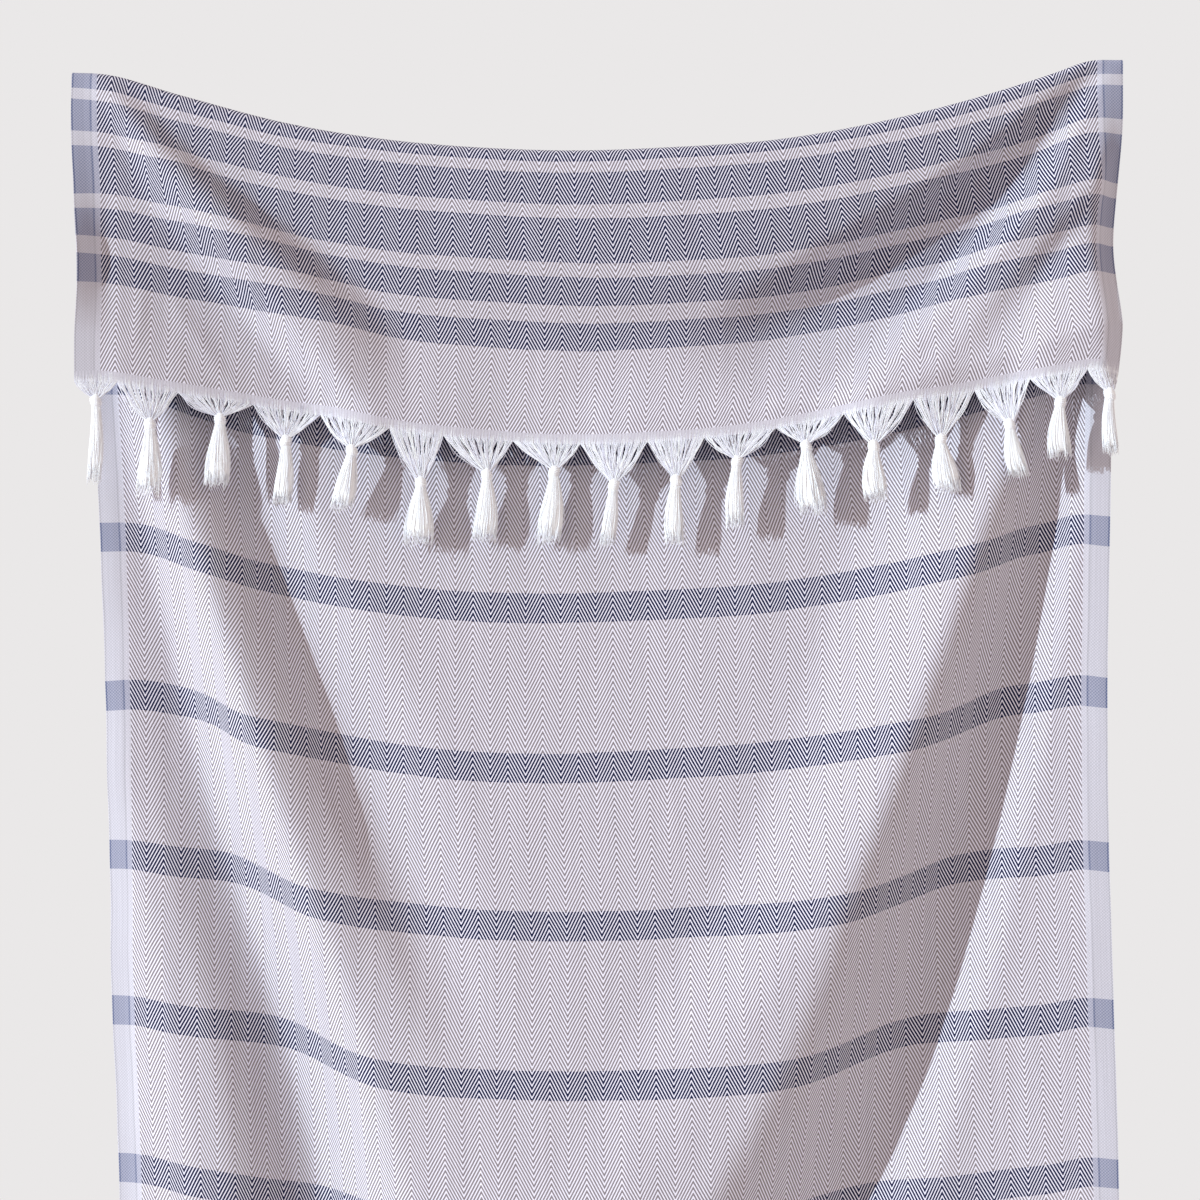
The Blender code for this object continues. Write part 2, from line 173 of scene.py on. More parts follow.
def add_node(tree: Tree, kind: str, inputs: Inputs | None = None, **settings: object) -> Node:
    """Add one node with its settings and links.

    Args:
        tree: the node tree.
        kind: the node's type without its ShaderNode prefix.
        inputs: for each input's name or index, a value, a socket, or a node whose first output is taken.
        settings: the node's own properties.

    Returns:
        The new node.
    """
    node = tree.nodes.new("ShaderNode" + kind)
    for name, value in settings.items():
        setattr(node, name, value)
    for place, source in (inputs or {}).items():
        if isinstance(source, Node):
            source = source.outputs[0]
        if isinstance(source, Socket):
            tree.links.new(source, node.inputs[place])
        else:
            node.inputs[place].default_value = source
    return node


def bare_material(name: str) -> bpy.types.Material:
    """Make a material without nodes.

    Args:
        name: the material's name.

    Returns:
        The material.
    """
    material = bpy.data.materials.new(name)
    material.use_nodes = True
    material.node_tree.nodes.clear()
    return material


# The shape in which the cloth hangs

@dataclass(frozen=True)
class Flank:
    """One flank of a fold: a soft step across the width that rises towards the front, or falls away.

    Attributes:
        x: its middle at each station of the layer, in mm.
        rise: how far it rises there, in mm.
        half_width: half the width that it takes, in mm.
    """

    x: Table
    rise: Table
    half_width: Table


@dataclass(frozen=True)
class Crease:
    """A fine crease along a straight line, as a soft ridge, or a trough where its rise is negative.

    Attributes:
        start: x and z of its first end, in mm.
        end: x and z of its other end, in mm.
        rise: its height towards the front, in mm.
        half_width: how far from its line it fades, in mm.
        grows: shares of its length between which it grows to its full height.
        fades: shares of its length between which it fades out.
    """

    start: tuple[float, float]
    end: tuple[float, float]
    rise: float
    half_width: float
    grows: Table = (-0.15, 0.3)
    fades: Table = (0.7, 1.15)

    def height(self, x: Array, z: Array) -> Array:
        """Read its height at points of the layer.

        Args:
            x: the points' places across the towel, in mm.
            z: their heights above the origin, in mm.

        Returns:
            How far it stands to the front there, in mm.
        """
        run, drop = self.end[0] - self.start[0], self.end[1] - self.start[1]
        length = math.hypot(run, drop)
        along = ((x - self.start[0]) * run + (z - self.start[1]) * drop) / length ** 2
        aside = ((x - self.start[0]) * drop - (z - self.start[1]) * run) / length
        fade = soft_ramp(along, *self.grows) * (1 - soft_ramp(along, *self.fades))
        return self.rise * np.exp(-(aside / self.half_width) ** 2) * fade


@dataclass(frozen=True)
class CrossLine:
    """How much less far than their length the threads hang at one cross line of the cloth.

    Attributes:
        length: the line's length along the cloth from the top of the fold, in mm.
        take_up: the length taken up by slant and fine ripples at each share of the width, in mm.
    """

    length: float
    take_up: Table


@dataclass(frozen=True)
class Layer:
    """One hanging layer of the cloth: its folds, its long edges and its take-up.

    Attributes:
        stations: depths, in mm, at which the folds are given.
        lean: how far the whole layer comes forward at each station.
        flanks: the flanks of its folds.
        creases: its fine creases.
        edge_drops: depths below the origin at which the long edges are given.
        left_edge: how far the left edge stands from the middle at each.
        right_edge: how far the right edge stands from the middle at each.
        cross_lines: the take-up of the threads.
        reach: the layer's length from the top of the fold to its hem.
        rows: rows of facets below the turn of the fold.
    """

    stations: Table
    lean: Table
    flanks: tuple[Flank, ...]
    creases: tuple[Crease, ...]
    edge_drops: Table
    left_edge: Table
    right_edge: Table
    cross_lines: tuple[CrossLine, ...]
    reach: float
    rows: int

    def fold_height(self, x: Array, depth: Array) -> Array:
        """Read the height of its folds.

        Args:
            x: places across the towel, in mm.
            depth: depths as the stations count them, in mm.

        Returns:
            How far the folds stand to the front there, in mm.
        """
        total = np.zeros(np.broadcast(x, depth).shape)
        for flank in self.flanks:
            middle = smooth_curve(self.stations, flank.x, depth)
            half = smooth_curve(self.stations, flank.half_width, depth)
            total = total + smooth_curve(self.stations, flank.rise, depth) * soft_step((x - middle) / half)
        return total

    def crease_height(self, x: Array, z: Array) -> Array:
        """The height of its fine creases, in mm."""
        return sum((crease.height(x, z) for crease in self.creases), np.zeros(np.broadcast(x, z).shape))

    def take_up(self, shares: Table, lengths: Array, columns: Array) -> Array:
        """Read the take-up of each thread at each of its lengths.

        Args:
            shares: shares of the width at which the table is given.
            lengths: rows by columns, lengths along the cloth.
            columns: the share of the width of each column.

        Returns:
            How much less far than its length each thread hangs, rows by columns, in mm.
        """
        knots = tuple(line.length for line in self.cross_lines)
        values = np.array([smooth_curve(shares, line.take_up, columns) for line in self.cross_lines])
        read = [smooth_curve(knots, values[:, i], lengths[:, i]) for i in range(len(columns))]
        return np.stack(read, axis=1)


FLAP_LAYER = Layer(
    stations=(0, 55, 110, 170, 250),
    lean=(0, 10, 19, 31, 34),
    flanks=(
        # The rolled left edge, and the fold that runs down from the left corner.
        Flank((-478, -477, -476, -474, -474), (0, -2, -8, -20, -5), (13, 15, 18, 18, 18)),
        Flank((-480, -435, -388, -327, -243), (0, 12, 30, 31, 18), (15, 20, 38, 38, 38)),
        Flank((-440, -430, -420, -410, -400), (0, 0, -3, -12, -14), (40, 40, 40, 50, 55)),
        Flank((-460, -390, -300, -228, -212), (0, -19, -36, -27, -7), (15, 24, 40, 40, 40)),
        Flank((-335, -335, -335, -335, -330), (0, 0, 0, -6, -14), (60, 60, 60, 60, 60)),
        # The shallow hollow of the middle, and its swell at the hem.
        Flank((-60, -60, -60, -60, -100), (0, 0, -5, -12, -13), (90, 120, 170, 150, 100)),
        Flank((0, 0, 0, 0, 0), (0, 0, 0, 6, 20), (90, 90, 90, 90, 100)),
        Flank((380, 300, 200, 90, 60), (0, -3, -9, -16, -5), (60, 90, 140, 150, 110)),
        # The valley that runs down from the right corner, and the rolled right edge.
        Flank((470, 362, 240, 146, 140), (0, -18, -29, -22, 6), (20, 28, 60, 68, 60)),
        Flank((480, 442, 396, 327, 227), (0, 14, 36, 39, 20), (12, 16, 29, 32, 36)),
        Flank((500, 500, 479, 413, 326), (0, 0, -5, -12, -9), (20, 20, 20, 26, 33)),
        Flank((500, 480, 458, 439, 397), (0, 0, 2, 5, 8), (17, 17, 17, 17, 20)),
        Flank((492, 486, 479, 477, 478), (0, -4, -16, -19, -15), (10, 12, 13, 14, 13)),
    ),
    creases=(
        Crease((-402, -138), (-336, -232), 1.6, 7),
        Crease((-306, -146), (-208, -250), 1.6, 8),
        Crease((-424, -130), (-430, -185), 1.0, 5),
        Crease((6, -228), (6, -268), 0.9, 5),
        Crease((133, -248), (194, -205), -1.0, 6),
        Crease((279, -214), (345, -152), -1.2, 7),
        Crease((388, -190), (444, -138), -1.0, 6),
    ),
    edge_drops=(-85, -20, 40, 120, 175, 230),
    left_edge=(-494, -493, -489, -484, -486, -486),
    right_edge=(493, 494, 491, 489, 488, 480),
    cross_lines=(
        CrossLine(0, (0, 0, 0, 0, 0, 0, 0, 0, 0, 0, 0, 0, 0, 0, 0, 0)),
        CrossLine(16, (-1, -3, -2, -2, -2, -1, 0, 0, 0, 0, 1, 0, 0, 0, 1, 1)),
        CrossLine(45, (-1, -2, 0, 1, 1, 1, 1, 1, 0, 1, 1, 1, 1, 1, 2, 1)),
        CrossLine(110, (-2, 1, 4, 5, 7, 7, 6, 6, 4, 4, 7, 11, 10, 7, 5, 1)),
        CrossLine(200, (1, 3, 7, 12, 15, 16, 12, 10, 9, 11, 15, 16, 13, 10, 5, 1)),
        CrossLine(296, (1, 5, 10, 16, 20, 22, 19, 16, 14, 15, 20, 20, 15, 11, 5, -4)),
    ),
    reach=295.5,
    rows=50,
)

BACK_LAYER = Layer(
    stations=(0, 300, 600, 900, 1450),
    lean=(0, -7, -6, -10, -8),
    flanks=(
        # The two folds that run down from the left corner towards the middle.
        Flank((-490, -475, -458, -423, -400), (0, 2, 13, 32, 22), (20, 20, 24, 50, 60)),
        Flank((-480, -447, -396, -316, -290), (0, -1, -10, -34, -28), (20, 22, 28, 42, 55)),
        Flank((-470, -418, -334, -237, -185), (0, 26, 57, 62, 36), (25, 28, 40, 50, 70)),
        Flank((-440, -363, -254, -126, -60), (0, -30, -33, -8, 0), (25, 33, 46, 60, 60)),
        Flank((-430, -350, -243, -130, -60), (0, -3, -8, 0, 0), (15, 15, 17, 20, 20)),
        Flank((-400, -306, -184, -130, -60), (0, 20, 18, 13, 0), (20, 28, 64, 80, 80)),
        # The middle, which stays nearly flat.
        Flank((85, 85, 60, 45, 20), (0, 3, 1, -4, -14), (55, 55, 60, 60, 90)),
        # The deep fold that runs down from the right corner, with its steep flank, and the right edge.
        Flank((400, 316, 218, 38, -170), (0, 40, 34, 12, 4), (60, 74, 70, 62, 80)),
        Flank((482, 400, 311, 211, -140), (0, -39, -70, -82, -46), (30, 34, 53, 74, 130)),
        Flank((480, 445, 393, 311, 60), (0, 12, 18, 25, 16), (15, 15, 22, 33, 60)),
        Flank((490, 470, 440, 420, 400), (0, 5, 8, 8, 6), (30, 40, 70, 80, 80)),
    ),
    creases=(
        Crease((8, -465), (10, -550), 0.8, 4),
        Crease((90, -472), (82, -520), 0.6, 5),
        Crease((74, -608), (68, -662), 0.6, 6),
    ),
    edge_drops=(-85, -70, 100, 234, 345, 500, 650, 800, 950, 1450),
    left_edge=(-494, -494, -482, -476, -470, -464, -460, -458, -452, -446),
    right_edge=(493, 491, 484, 480, 478, 476, 478, 483, 488, 492),
    cross_lines=(
        CrossLine(0, (0, 0, 0, 0, 0, 0, 0, 0, 0, 0, 0, 0, 0, 0, 0, 0)),
        CrossLine(425, (1, 3, 3, 1, 3, 3, 3, 3, 5, 5, 6, 5, 4, 3, -1, -6)),
        CrossLine(573, (0, 5, 8, 4, 5, 4, 3, 2, 4, 5, 6, 4, 3, 4, -2, -8)),
        CrossLine(722, (-1, 1, 8, 10, 7, 5, 4, 4, 5, 6, 6, 7, 7, 1, -8, -14)),
        CrossLine(870, (0, 3, 9, 15, 15, 9, 5, 6, 7, 8, 10, 14, 9, 0, -8, -13)),
        CrossLine(1019, (0, 2, 7, 10, 13, 14, 12, 9, 8, 9, 12, 11, 4, -3, -10, -15)),
        CrossLine(1470, (2, 3, 7, 10, 14, 12, 7, 4, 4, 7, 13, 12, 6, -1, -7, -11)),
    ),
    reach=1470.5,
    rows=150,
)


@dataclass(frozen=True)
class HemLine:
    """A hem, or a stretch of one, as points with their directions.

    Attributes:
        points: the middle of the hem's edge, in metres.
        down: unit vectors along the cloth, out of the hem.
        out: unit vectors square to the cloth's outer face.
        stretch_points: how many points a stretch cut from it gets.
    """

    points: Array
    down: Array
    out: Array
    stretch_points: int = 9

    def at(self, shares: Array) -> tuple[Array, Array, Array]:
        """Read the hem between its points.

        Args:
            shares: shares of the stretch, from 0 at its left to 1 at its right.

        Returns:
            The points there, with their directions down and out.
        """
        places = np.asarray(shares) * (len(self.points) - 1)
        steps = np.arange(len(self.points))
        read = [np.stack([np.interp(places, steps, grid[:, axis]) for axis in range(3)], axis=-1)
                for grid in (self.points, self.down, self.out)]
        return read[0], unit(read[1]), unit(read[2])

    def cut(self, widths: Table) -> "list[HemLine]":
        """Cut the hem into stretches side by side.

        Args:
            widths: how wide the stretches are beside each other.

        Returns:
            The stretches, from left to right.
        """
        steps = np.linalg.norm(np.diff(self.points, axis=0), axis=1)
        along = running_length(steps) / steps.sum()
        cuts = running_length(np.array(widths)) / np.sum(widths)
        stretches = []
        for start, end in zip(cuts, cuts[1:]):
            shares = np.linspace(start, end, self.stretch_points)
            places = np.interp(shares, along, np.linspace(0, 1, len(along)))
            stretches.append(HemLine(*self.at(places)))
        return stretches


@dataclass(frozen=True)
class Ripples:
    """The fine unevenness of hand-finished cloth: long ripples down the warp.

    Attributes:
        wavelengths: how far apart the ripples lie across the cloth, in mm.
        waves: how many waves there are of each length.
        steepness: a wave's height as a share of its length.
        sway: how far a wave sways aside as it runs, as an angle of its turn.
        sway_lengths: the least and the greatest length along the cloth of one radian of that, in mm.
        swell_lengths: the same for its growing and fading.
        seed: the start of the random draws.
    """

    wavelengths: Table = (19, 27, 41, 58, 83)
    waves: int = 3
    steepness: float = 0.0022
    sway: float = 0.9
    sway_lengths: Table = (90, 260)
    swell_lengths: Table = (60, 150)
    seed: int = 11

    def height(self, across: Array, along: Array) -> Array:
        """Read the height of the ripples.

        Args:
            across: places across the cloth, in mm.
            along: places along it, in mm.

        Returns:
            How far they stand out there, in mm.
        """
        draws = np.random.default_rng(self.seed)
        total = np.zeros(across.shape)
        for wavelength in self.wavelengths:
            for _ in range(self.waves):
                phases = draws.uniform(0, 2 * math.pi, 3)
                sway = self.sway * np.sin(along / draws.uniform(*self.sway_lengths) + phases[0])
                swell = np.sin(along / draws.uniform(*self.swell_lengths) + phases[1])
                wave = np.sin(2 * math.pi * across / wavelength + sway + phases[2])
                total = total + self.steepness * wavelength * wave * swell
        return total


@dataclass
class HangingSheet:
    """The cloth's middle surface as it hangs over its sagging top fold.

    Attributes:
        width: the cloth's width, in mm.
        fold_x: places along the top fold, in mm.
        fold_z: the height of its top edge there.
        radius_edge: the fold's radius at the held corners.
        radius_centre: its radius between them.
        gap: the least space between the middles of the two layers.
        gap_softness: how softly the back layer is kept behind the flap.
        shared_folds: depths between which the back layer leaves the flap's folds for its own.
        held_by_flap: depths between which it comes to be held behind the flap.
        free_of_flap: depths between which it is no longer held there.
        columns: columns of points.
        survey: how many points are used to measure along the width and along the top fold.
        turn_steps: rows in each half of the top fold.
        spread_passes: how often the threads of a row are spread evenly.
        take_up_shares: shares of the width at which the take-up is given.
    """

    width: float = 1000.0
    fold_x: Table = (-494, -468, -393, -294, -196, -97, -31, 68, 166, 265, 364, 430, 462, 493)
    fold_z: Table = (73, 72, 52, 26, 10, 2, 0, 3, 10, 27, 52, 73, 84, 85)
    radius_edge: float = 4.0
    radius_centre: float = 9.0
    gap: float = 7.0
    gap_softness: float = 3.0
    shared_folds: Table = (30, 240)
    held_by_flap: Table = (0, 30)
    free_of_flap: Table = (300, 380)
    columns: int = 177
    survey: int = 401
    turn_steps: int = 8
    spread_passes: int = 5
    take_up_shares: Table = (0, .06, .10, .15, .20, .25, .30, .40, .50, .60, .70, .80, .85, .90, .94, 1)

    def fold_line_height(self, x: Array) -> Array:
        """The height of the top fold's upper edge, in mm."""
        return smooth_curve(self.fold_x, self.fold_z, x)

    def fold_radius(self, x: Array) -> Array:
        """The radius of the top fold, in mm."""
        share = np.clip(np.abs(x) / (self.width / 2), 0, 1)
        return self.radius_edge + (self.radius_centre - self.radius_edge) * (1 - share ** 2)

    def turn_height(self, x: Array, below: Array) -> Array:
        """Read how far a layer stands off the middle of the fold, going round it and then down.

        Args:
            x: places across the towel, in mm.
            below: depths below the top fold, in mm.

        Returns:
            The distance there, in mm.
        """
        radius = self.fold_radius(x)
        share = 1 - np.clip(below / radius, 0, 1)
        return radius * np.sqrt(1 - share ** 2)

    def flap_height(self, x: Array, z: Array) -> Array:
        """Read the height of the flap.

        Args:
            x: places across the towel, in mm.
            z: heights above the origin, in mm.

        Returns:
            How far the flap stands to the front there, in mm.
        """
        below = self.fold_line_height(x) - z
        lean = smooth_curve(FLAP_LAYER.stations, FLAP_LAYER.lean, below)
        folds = FLAP_LAYER.fold_height(x, below) + FLAP_LAYER.crease_height(x, z)
        return self.turn_height(x, below) + lean + folds

    def back_height(self, x: Array, z: Array) -> Array:
        """Read the height of the back layer: the flap's folds near the top, then its own, behind the flap.

        Args:
            x: places across the towel, in mm.
            z: heights above the origin, in mm.

        Returns:
            How far the layer stands to the front there, in mm.
        """
        below = self.fold_line_height(x) - z
        own = BACK_LAYER.fold_height(x, -z) + BACK_LAYER.crease_height(x, z)
        shared = FLAP_LAYER.fold_height(x, below)
        own_share = soft_ramp(below, *self.shared_folds)
        lean = smooth_curve(BACK_LAYER.stations, BACK_LAYER.lean, -z)
        free = lean - self.turn_height(x, below) + own * own_share + shared * (1 - own_share)
        overlap = free - (self.flap_height(x, z) - self.gap)
        push = (overlap + np.hypot(overlap, self.gap_softness)) / 2
        held = soft_ramp(below, *self.held_by_flap) * (1 - soft_ramp(below, *self.free_of_flap))
        return free - push * held

    def column_shares(self) -> Array:
        """Place the columns across the width, closer together at both sides.

        Returns:
            The columns' places, from 0 to 1.
        """
        fine = np.linspace(0, 1, self.survey)
        density = np.cumsum(1 + np.abs(2 * fine - 1))
        density = (density - density[0]) / (density[-1] - density[0])
        return np.interp(np.linspace(0, 1, self.columns), density, fine)

    def fold_line_columns(self, shares: Array) -> Array:
        """Find where each column crosses the top fold, measured along its sagging line.

        Args:
            shares: the columns' places across the width, from 0 to 1.

        Returns:
            The x of each crossing, in mm.
        """
        x = np.linspace(self.fold_x[0], self.fold_x[-1], self.survey)
        along = running_length(np.hypot(np.diff(x), np.diff(self.fold_line_height(x))))
        return np.interp(shares * along[-1], along, x)

    def fold_drop(self, fold_x: Array, lengths: Array) -> Array:
        """Find how far below the top of the fold a length along the cloth reaches.

        Args:
            fold_x: where the threads cross the fold, in mm.
            lengths: lengths along them, in mm.

        Returns:
            The drop of each, in mm.
        """
        radius = self.fold_radius(fold_x)
        angle = np.clip(lengths / radius, 0, math.pi / 2)
        return radius * (1 - np.cos(angle)) + np.clip(lengths - radius * math.pi / 2, 0, None)

    def row_lengths(self, layer: Layer) -> Array:
        """Measure the rows of a layer, from the top of the fold to its hem.

        Args:
            layer: the flap or the back layer.

        Returns:
            Each row's length along the cloth in each column, in mm.
        """
        radius = self.fold_radius(self.fold_line_columns(self.column_shares()))
        turn = np.linspace(0, math.pi / 2, self.turn_steps + 1)[:, None] * radius
        hang = np.linspace(0, 1, layer.rows + 1)[1:, None]
        return np.concatenate((turn, turn[-1:] + hang * (layer.reach - turn[-1:])))

    def even_threads(self, grid: Array, shares: Array, left: Array, right: Array) -> Array:
        """Slide the points of each row along it until they lie at their shares of its length.

        Args:
            grid: x, height and z of the points, rows by columns.
            shares: the share of the width of each column.
            left: x of each row's left end.
            right: x of each row's right end.

        Returns:
            The new x of each point.
        """
        along = running_length(np.linalg.norm(np.diff(grid, axis=1), axis=-1))
        along /= along[:, -1:]
        rows = np.array([np.interp(shares, row_along, row[:, 0]) for row_along, row in zip(along, grid)])
        stretch = (right - left) / (rows[:, -1:] - rows[:, :1])
        return left + (rows - rows[:, :1]) * stretch

    def hang(self, layer: Layer) -> Array:
        """Lay one layer as a grid of points.

        Args:
            layer: the flap or the back layer.

        Returns:
            The points' x, height and z, rows by columns, in mm.
        """
        height_of = self.flap_height if layer is FLAP_LAYER else self.back_height
        shares, lengths = self.column_shares(), self.row_lengths(layer)
        fold_x = self.fold_line_columns(shares)
        drop = self.fold_drop(fold_x, lengths) - layer.take_up(self.take_up_shares, lengths, shares)
        z = self.fold_line_height(fold_x) - drop
        left = smooth_curve(layer.edge_drops, layer.left_edge, -z[:, :1])
        right = smooth_curve(layer.edge_drops, layer.right_edge, -z[:, -1:])
        x = np.broadcast_to(fold_x, z.shape)
        for _ in range(self.spread_passes):
            grid = np.stack((x, height_of(x, z), z), axis=-1)
            x = self.even_threads(grid, shares, left, right)
        return np.stack((x, height_of(x, z), z), axis=-1)


@dataclass
class Sheet:
    """The woven cloth as one closed sheet over the hanging middle surface.

    Attributes:
        hanging: the shape in which it hangs.
        ripples: its fine ripples.
        length: the cloth's length from hem to hem, in mm.
        thickness: the cloth's thickness, in mm.
        still_turn: ripples fade out within this length of the top fold, in mm.
        selvedge: the width of the plain-woven strip down each long side, in mm.
        hem_width: the width of the plain-woven hem at each end, in mm.
        selvedge_wave: how far the selvedge waves to the front and back, in mm.
        long_wave: the length of one radian of its longer waves, in mm.
        short_wave: the same for its shorter waves.
        short_wave_share: how high the shorter waves are beside the longer.
        rim_width: the width that the sheet's cut sides take on the bake's map, as a share of it.
        sharp_angle: edges that turn more than this stay sharp, in degrees.
        along: each point's place along the cloth, from the flap's hem, in mm.
        across: each point's place across it, from its left side, in mm.
        middle: the points of its middle surface, in metres.
        out: unit vectors square to that, to the outer face.
    """

    hanging: HangingSheet = field(default_factory=HangingSheet)
    ripples: Ripples = Ripples()
    length: float = 1766.0
    thickness: float = 1.2
    still_turn: float = 60.0
    selvedge: float = 24.0
    hem_width: float = 9.5
    selvedge_wave: float = 0.7
    long_wave: float = 31.0
    short_wave: float = 13.7
    short_wave_share: float = 0.6
    rim_width: float = 0.0015
    sharp_angle: float = 60.0
    along: Array = field(init=False)
    across: Array = field(init=False)
    middle: Array = field(init=False)
    out: Array = field(init=False)

    def __post_init__(self) -> None:
        """Lay the middle surface and work out its directions."""
        flap, back = self.hanging.hang(FLAP_LAYER), self.hanging.hang(BACK_LAYER)
        flap_lengths = self.hanging.row_lengths(FLAP_LAYER)
        back_lengths = self.hanging.row_lengths(BACK_LAYER)
        grid = np.concatenate((flap[::-1], back[1:]))
        middle = np.stack((grid[..., 0], -grid[..., 1], grid[..., 2]), axis=-1)
        self.along = FLAP_LAYER.reach + np.concatenate((-flap_lengths[::-1], back_lengths[1:]))
        self.across = np.broadcast_to(self.hanging.column_shares() * self.hanging.width, self.along.shape)
        self.middle = (middle + self.unevenness()[..., None] * self.outward(middle)) * MM
        self.out = self.outward(self.middle)

    def outward(self, grid: Array) -> Array:
        """Unit vectors square to the grid: to the front on the flap, to the back on the back layer."""
        return unit(np.cross(np.gradient(grid, axis=1), np.gradient(grid, axis=0)))

    def unevenness(self) -> Array:
        """Work out the ripples over the cloth and the waves along its selvedges.

        Returns:
            How far each point stands out, in mm.
        """
        to_fold = np.abs(self.along - FLAP_LAYER.reach)
        still = soft_ramp(to_fold, 0, self.still_turn)
        to_side = self.hanging.width / 2 - np.abs(self.across - self.hanging.width / 2)
        at_side = 1 - soft_ramp(to_side, 0, 2 * self.selvedge)
        side = np.sign(self.across - self.hanging.width / 2)
        short = np.sin(self.along / self.short_wave + 2 * side)
        wave = np.sin(self.along / self.long_wave + side) + self.short_wave_share * short
        return still * (self.ripples.height(self.across, self.along) + self.selvedge_wave * at_side * wave)

    def hem(self, row: int) -> HemLine:
        """The hem at the first row or the last, from left to right."""
        inside = 1 if row == 0 else -2
        return HemLine(self.middle[row], unit(self.middle[row] - self.middle[inside]), self.out[row])

    def mesh(self) -> bpy.types.Mesh:
        """Make two faces a thickness apart, closed along all four sides, with the weave's map.

        Returns:
            The sheet's mesh, in world coordinates.
        """
        rows, columns = self.along.shape
        offset = self.out * (self.thickness * MM / 2)
        points = np.stack((self.middle + offset, self.middle - offset)).reshape(-1, 3)
        index = np.arange(rows * columns).reshape(rows, columns)
        corners = (index[:-1, :-1], index[:-1, 1:], index[1:, 1:], index[1:, :-1])
        outer = np.stack(corners, axis=-1).reshape(-1, 4)
        inner = outer[:, ::-1] + rows * columns
        rims = []
        for side in (index[0], index[:, -1], index[-1, ::-1], index[::-1, 0]):
            under = side + rows * columns
            rims.append(np.stack((side[1:], side[:-1], under[:-1], under[1:]), axis=-1))
        faces = np.concatenate([outer, inner, *rims])
        mesh = bpy.data.meshes.new("woven_cloth")
        mesh.from_pydata(points.tolist(), [], faces.tolist())
        self.lay_map(mesh, faces, [len(rim) for rim in rims])
        mesh.set_sharp_from_angle(angle=math.radians(self.sharp_angle))
        return mesh

    def lay_map(self, mesh: bpy.types.Mesh, faces: Array, rims: list[int]) -> None:
        """Map both faces to the same places of the cloth, and the rims to a narrow strip inside them.

        Args:
            mesh: the sheet's mesh.
            faces: its faces as corner indices.
            rims: how many faces close the first hem, the right side, the last hem and the left side.
        """
        place = np.stack((self.across / self.hanging.width, self.along / self.length), axis=-1)
        place = place.reshape(-1, 2)
        corners = place[faces % len(place)]
        start = len(faces) - sum(rims)
        for count, inward in zip(rims, ((0, 1), (-1, 0), (0, -1), (1, 0))):
            corners[start:start + count, 2:] += np.array(inward) * self.rim_width
            start += count
        layer = mesh.uv_layers.new(name=UV_MAP)
        layer.uv.foreach_set("vector", corners.reshape(-1).astype(np.float32))

    def build(self, finish: "HerringboneCotton") -> bpy.types.Object:
        """Make the cloth's piece in the given finish."""
        return add_piece("towel_cloth", self.mesh(), finish.make(self), "cloth")


# Tassels

@dataclass(frozen=True)
class TasselCut:
    """How one tassel was gathered and cut, in mm.

    Attributes:
        root_width: the width of hem that it gathers.
        knot_shift: how far the knot stands to the right of the middle of that.
        knot_drop: how far it hangs below the hem.
        skirt_length: how far the skirt reaches below the knot.
        skirt_lean: how far its end stands to the right of the knot.
        skirt_width: how wide it is at its end.
    """

    root_width: float
    knot_shift: float
    knot_drop: float
    skirt_length: float
    skirt_lean: float
    skirt_width: float


# From left to right below the flap; the other hem has them in reverse order.
TASSEL_CUTS = (
    TasselCut(39, 0, 19, 72, -2, 14),
    TasselCut(56, 2, 34, 63, -2, 23),
    TasselCut(69, 4, 20, 60, -4, 25),
    TasselCut(63, -1, 29, 57, -4, 18),
    TasselCut(67, -2, 28, 53, -10, 22),
    TasselCut(50, 4, 47, 55, -2, 29),
    TasselCut(64, 8, 34, 60, -3, 23),
    TasselCut(62, 7, 27, 64, -6, 24),
    TasselCut(62, 0, 39, 54, -6, 14),
    TasselCut(52, 0, 38, 57, -1, 18),
    TasselCut(66, -3, 26, 59, -2, 18),
    TasselCut(64, -4, 23, 61, 6, 29),
    TasselCut(65, -4, 37, 49, 3, 24),
    TasselCut(58, -3, 41, 47, 7, 26),
    TasselCut(52, 6, 38, 46, 8, 19),
    TasselCut(53, 1, 26, 50, 0, 21),
    TasselCut(33, 4, 22, 53, 2, 14),
)


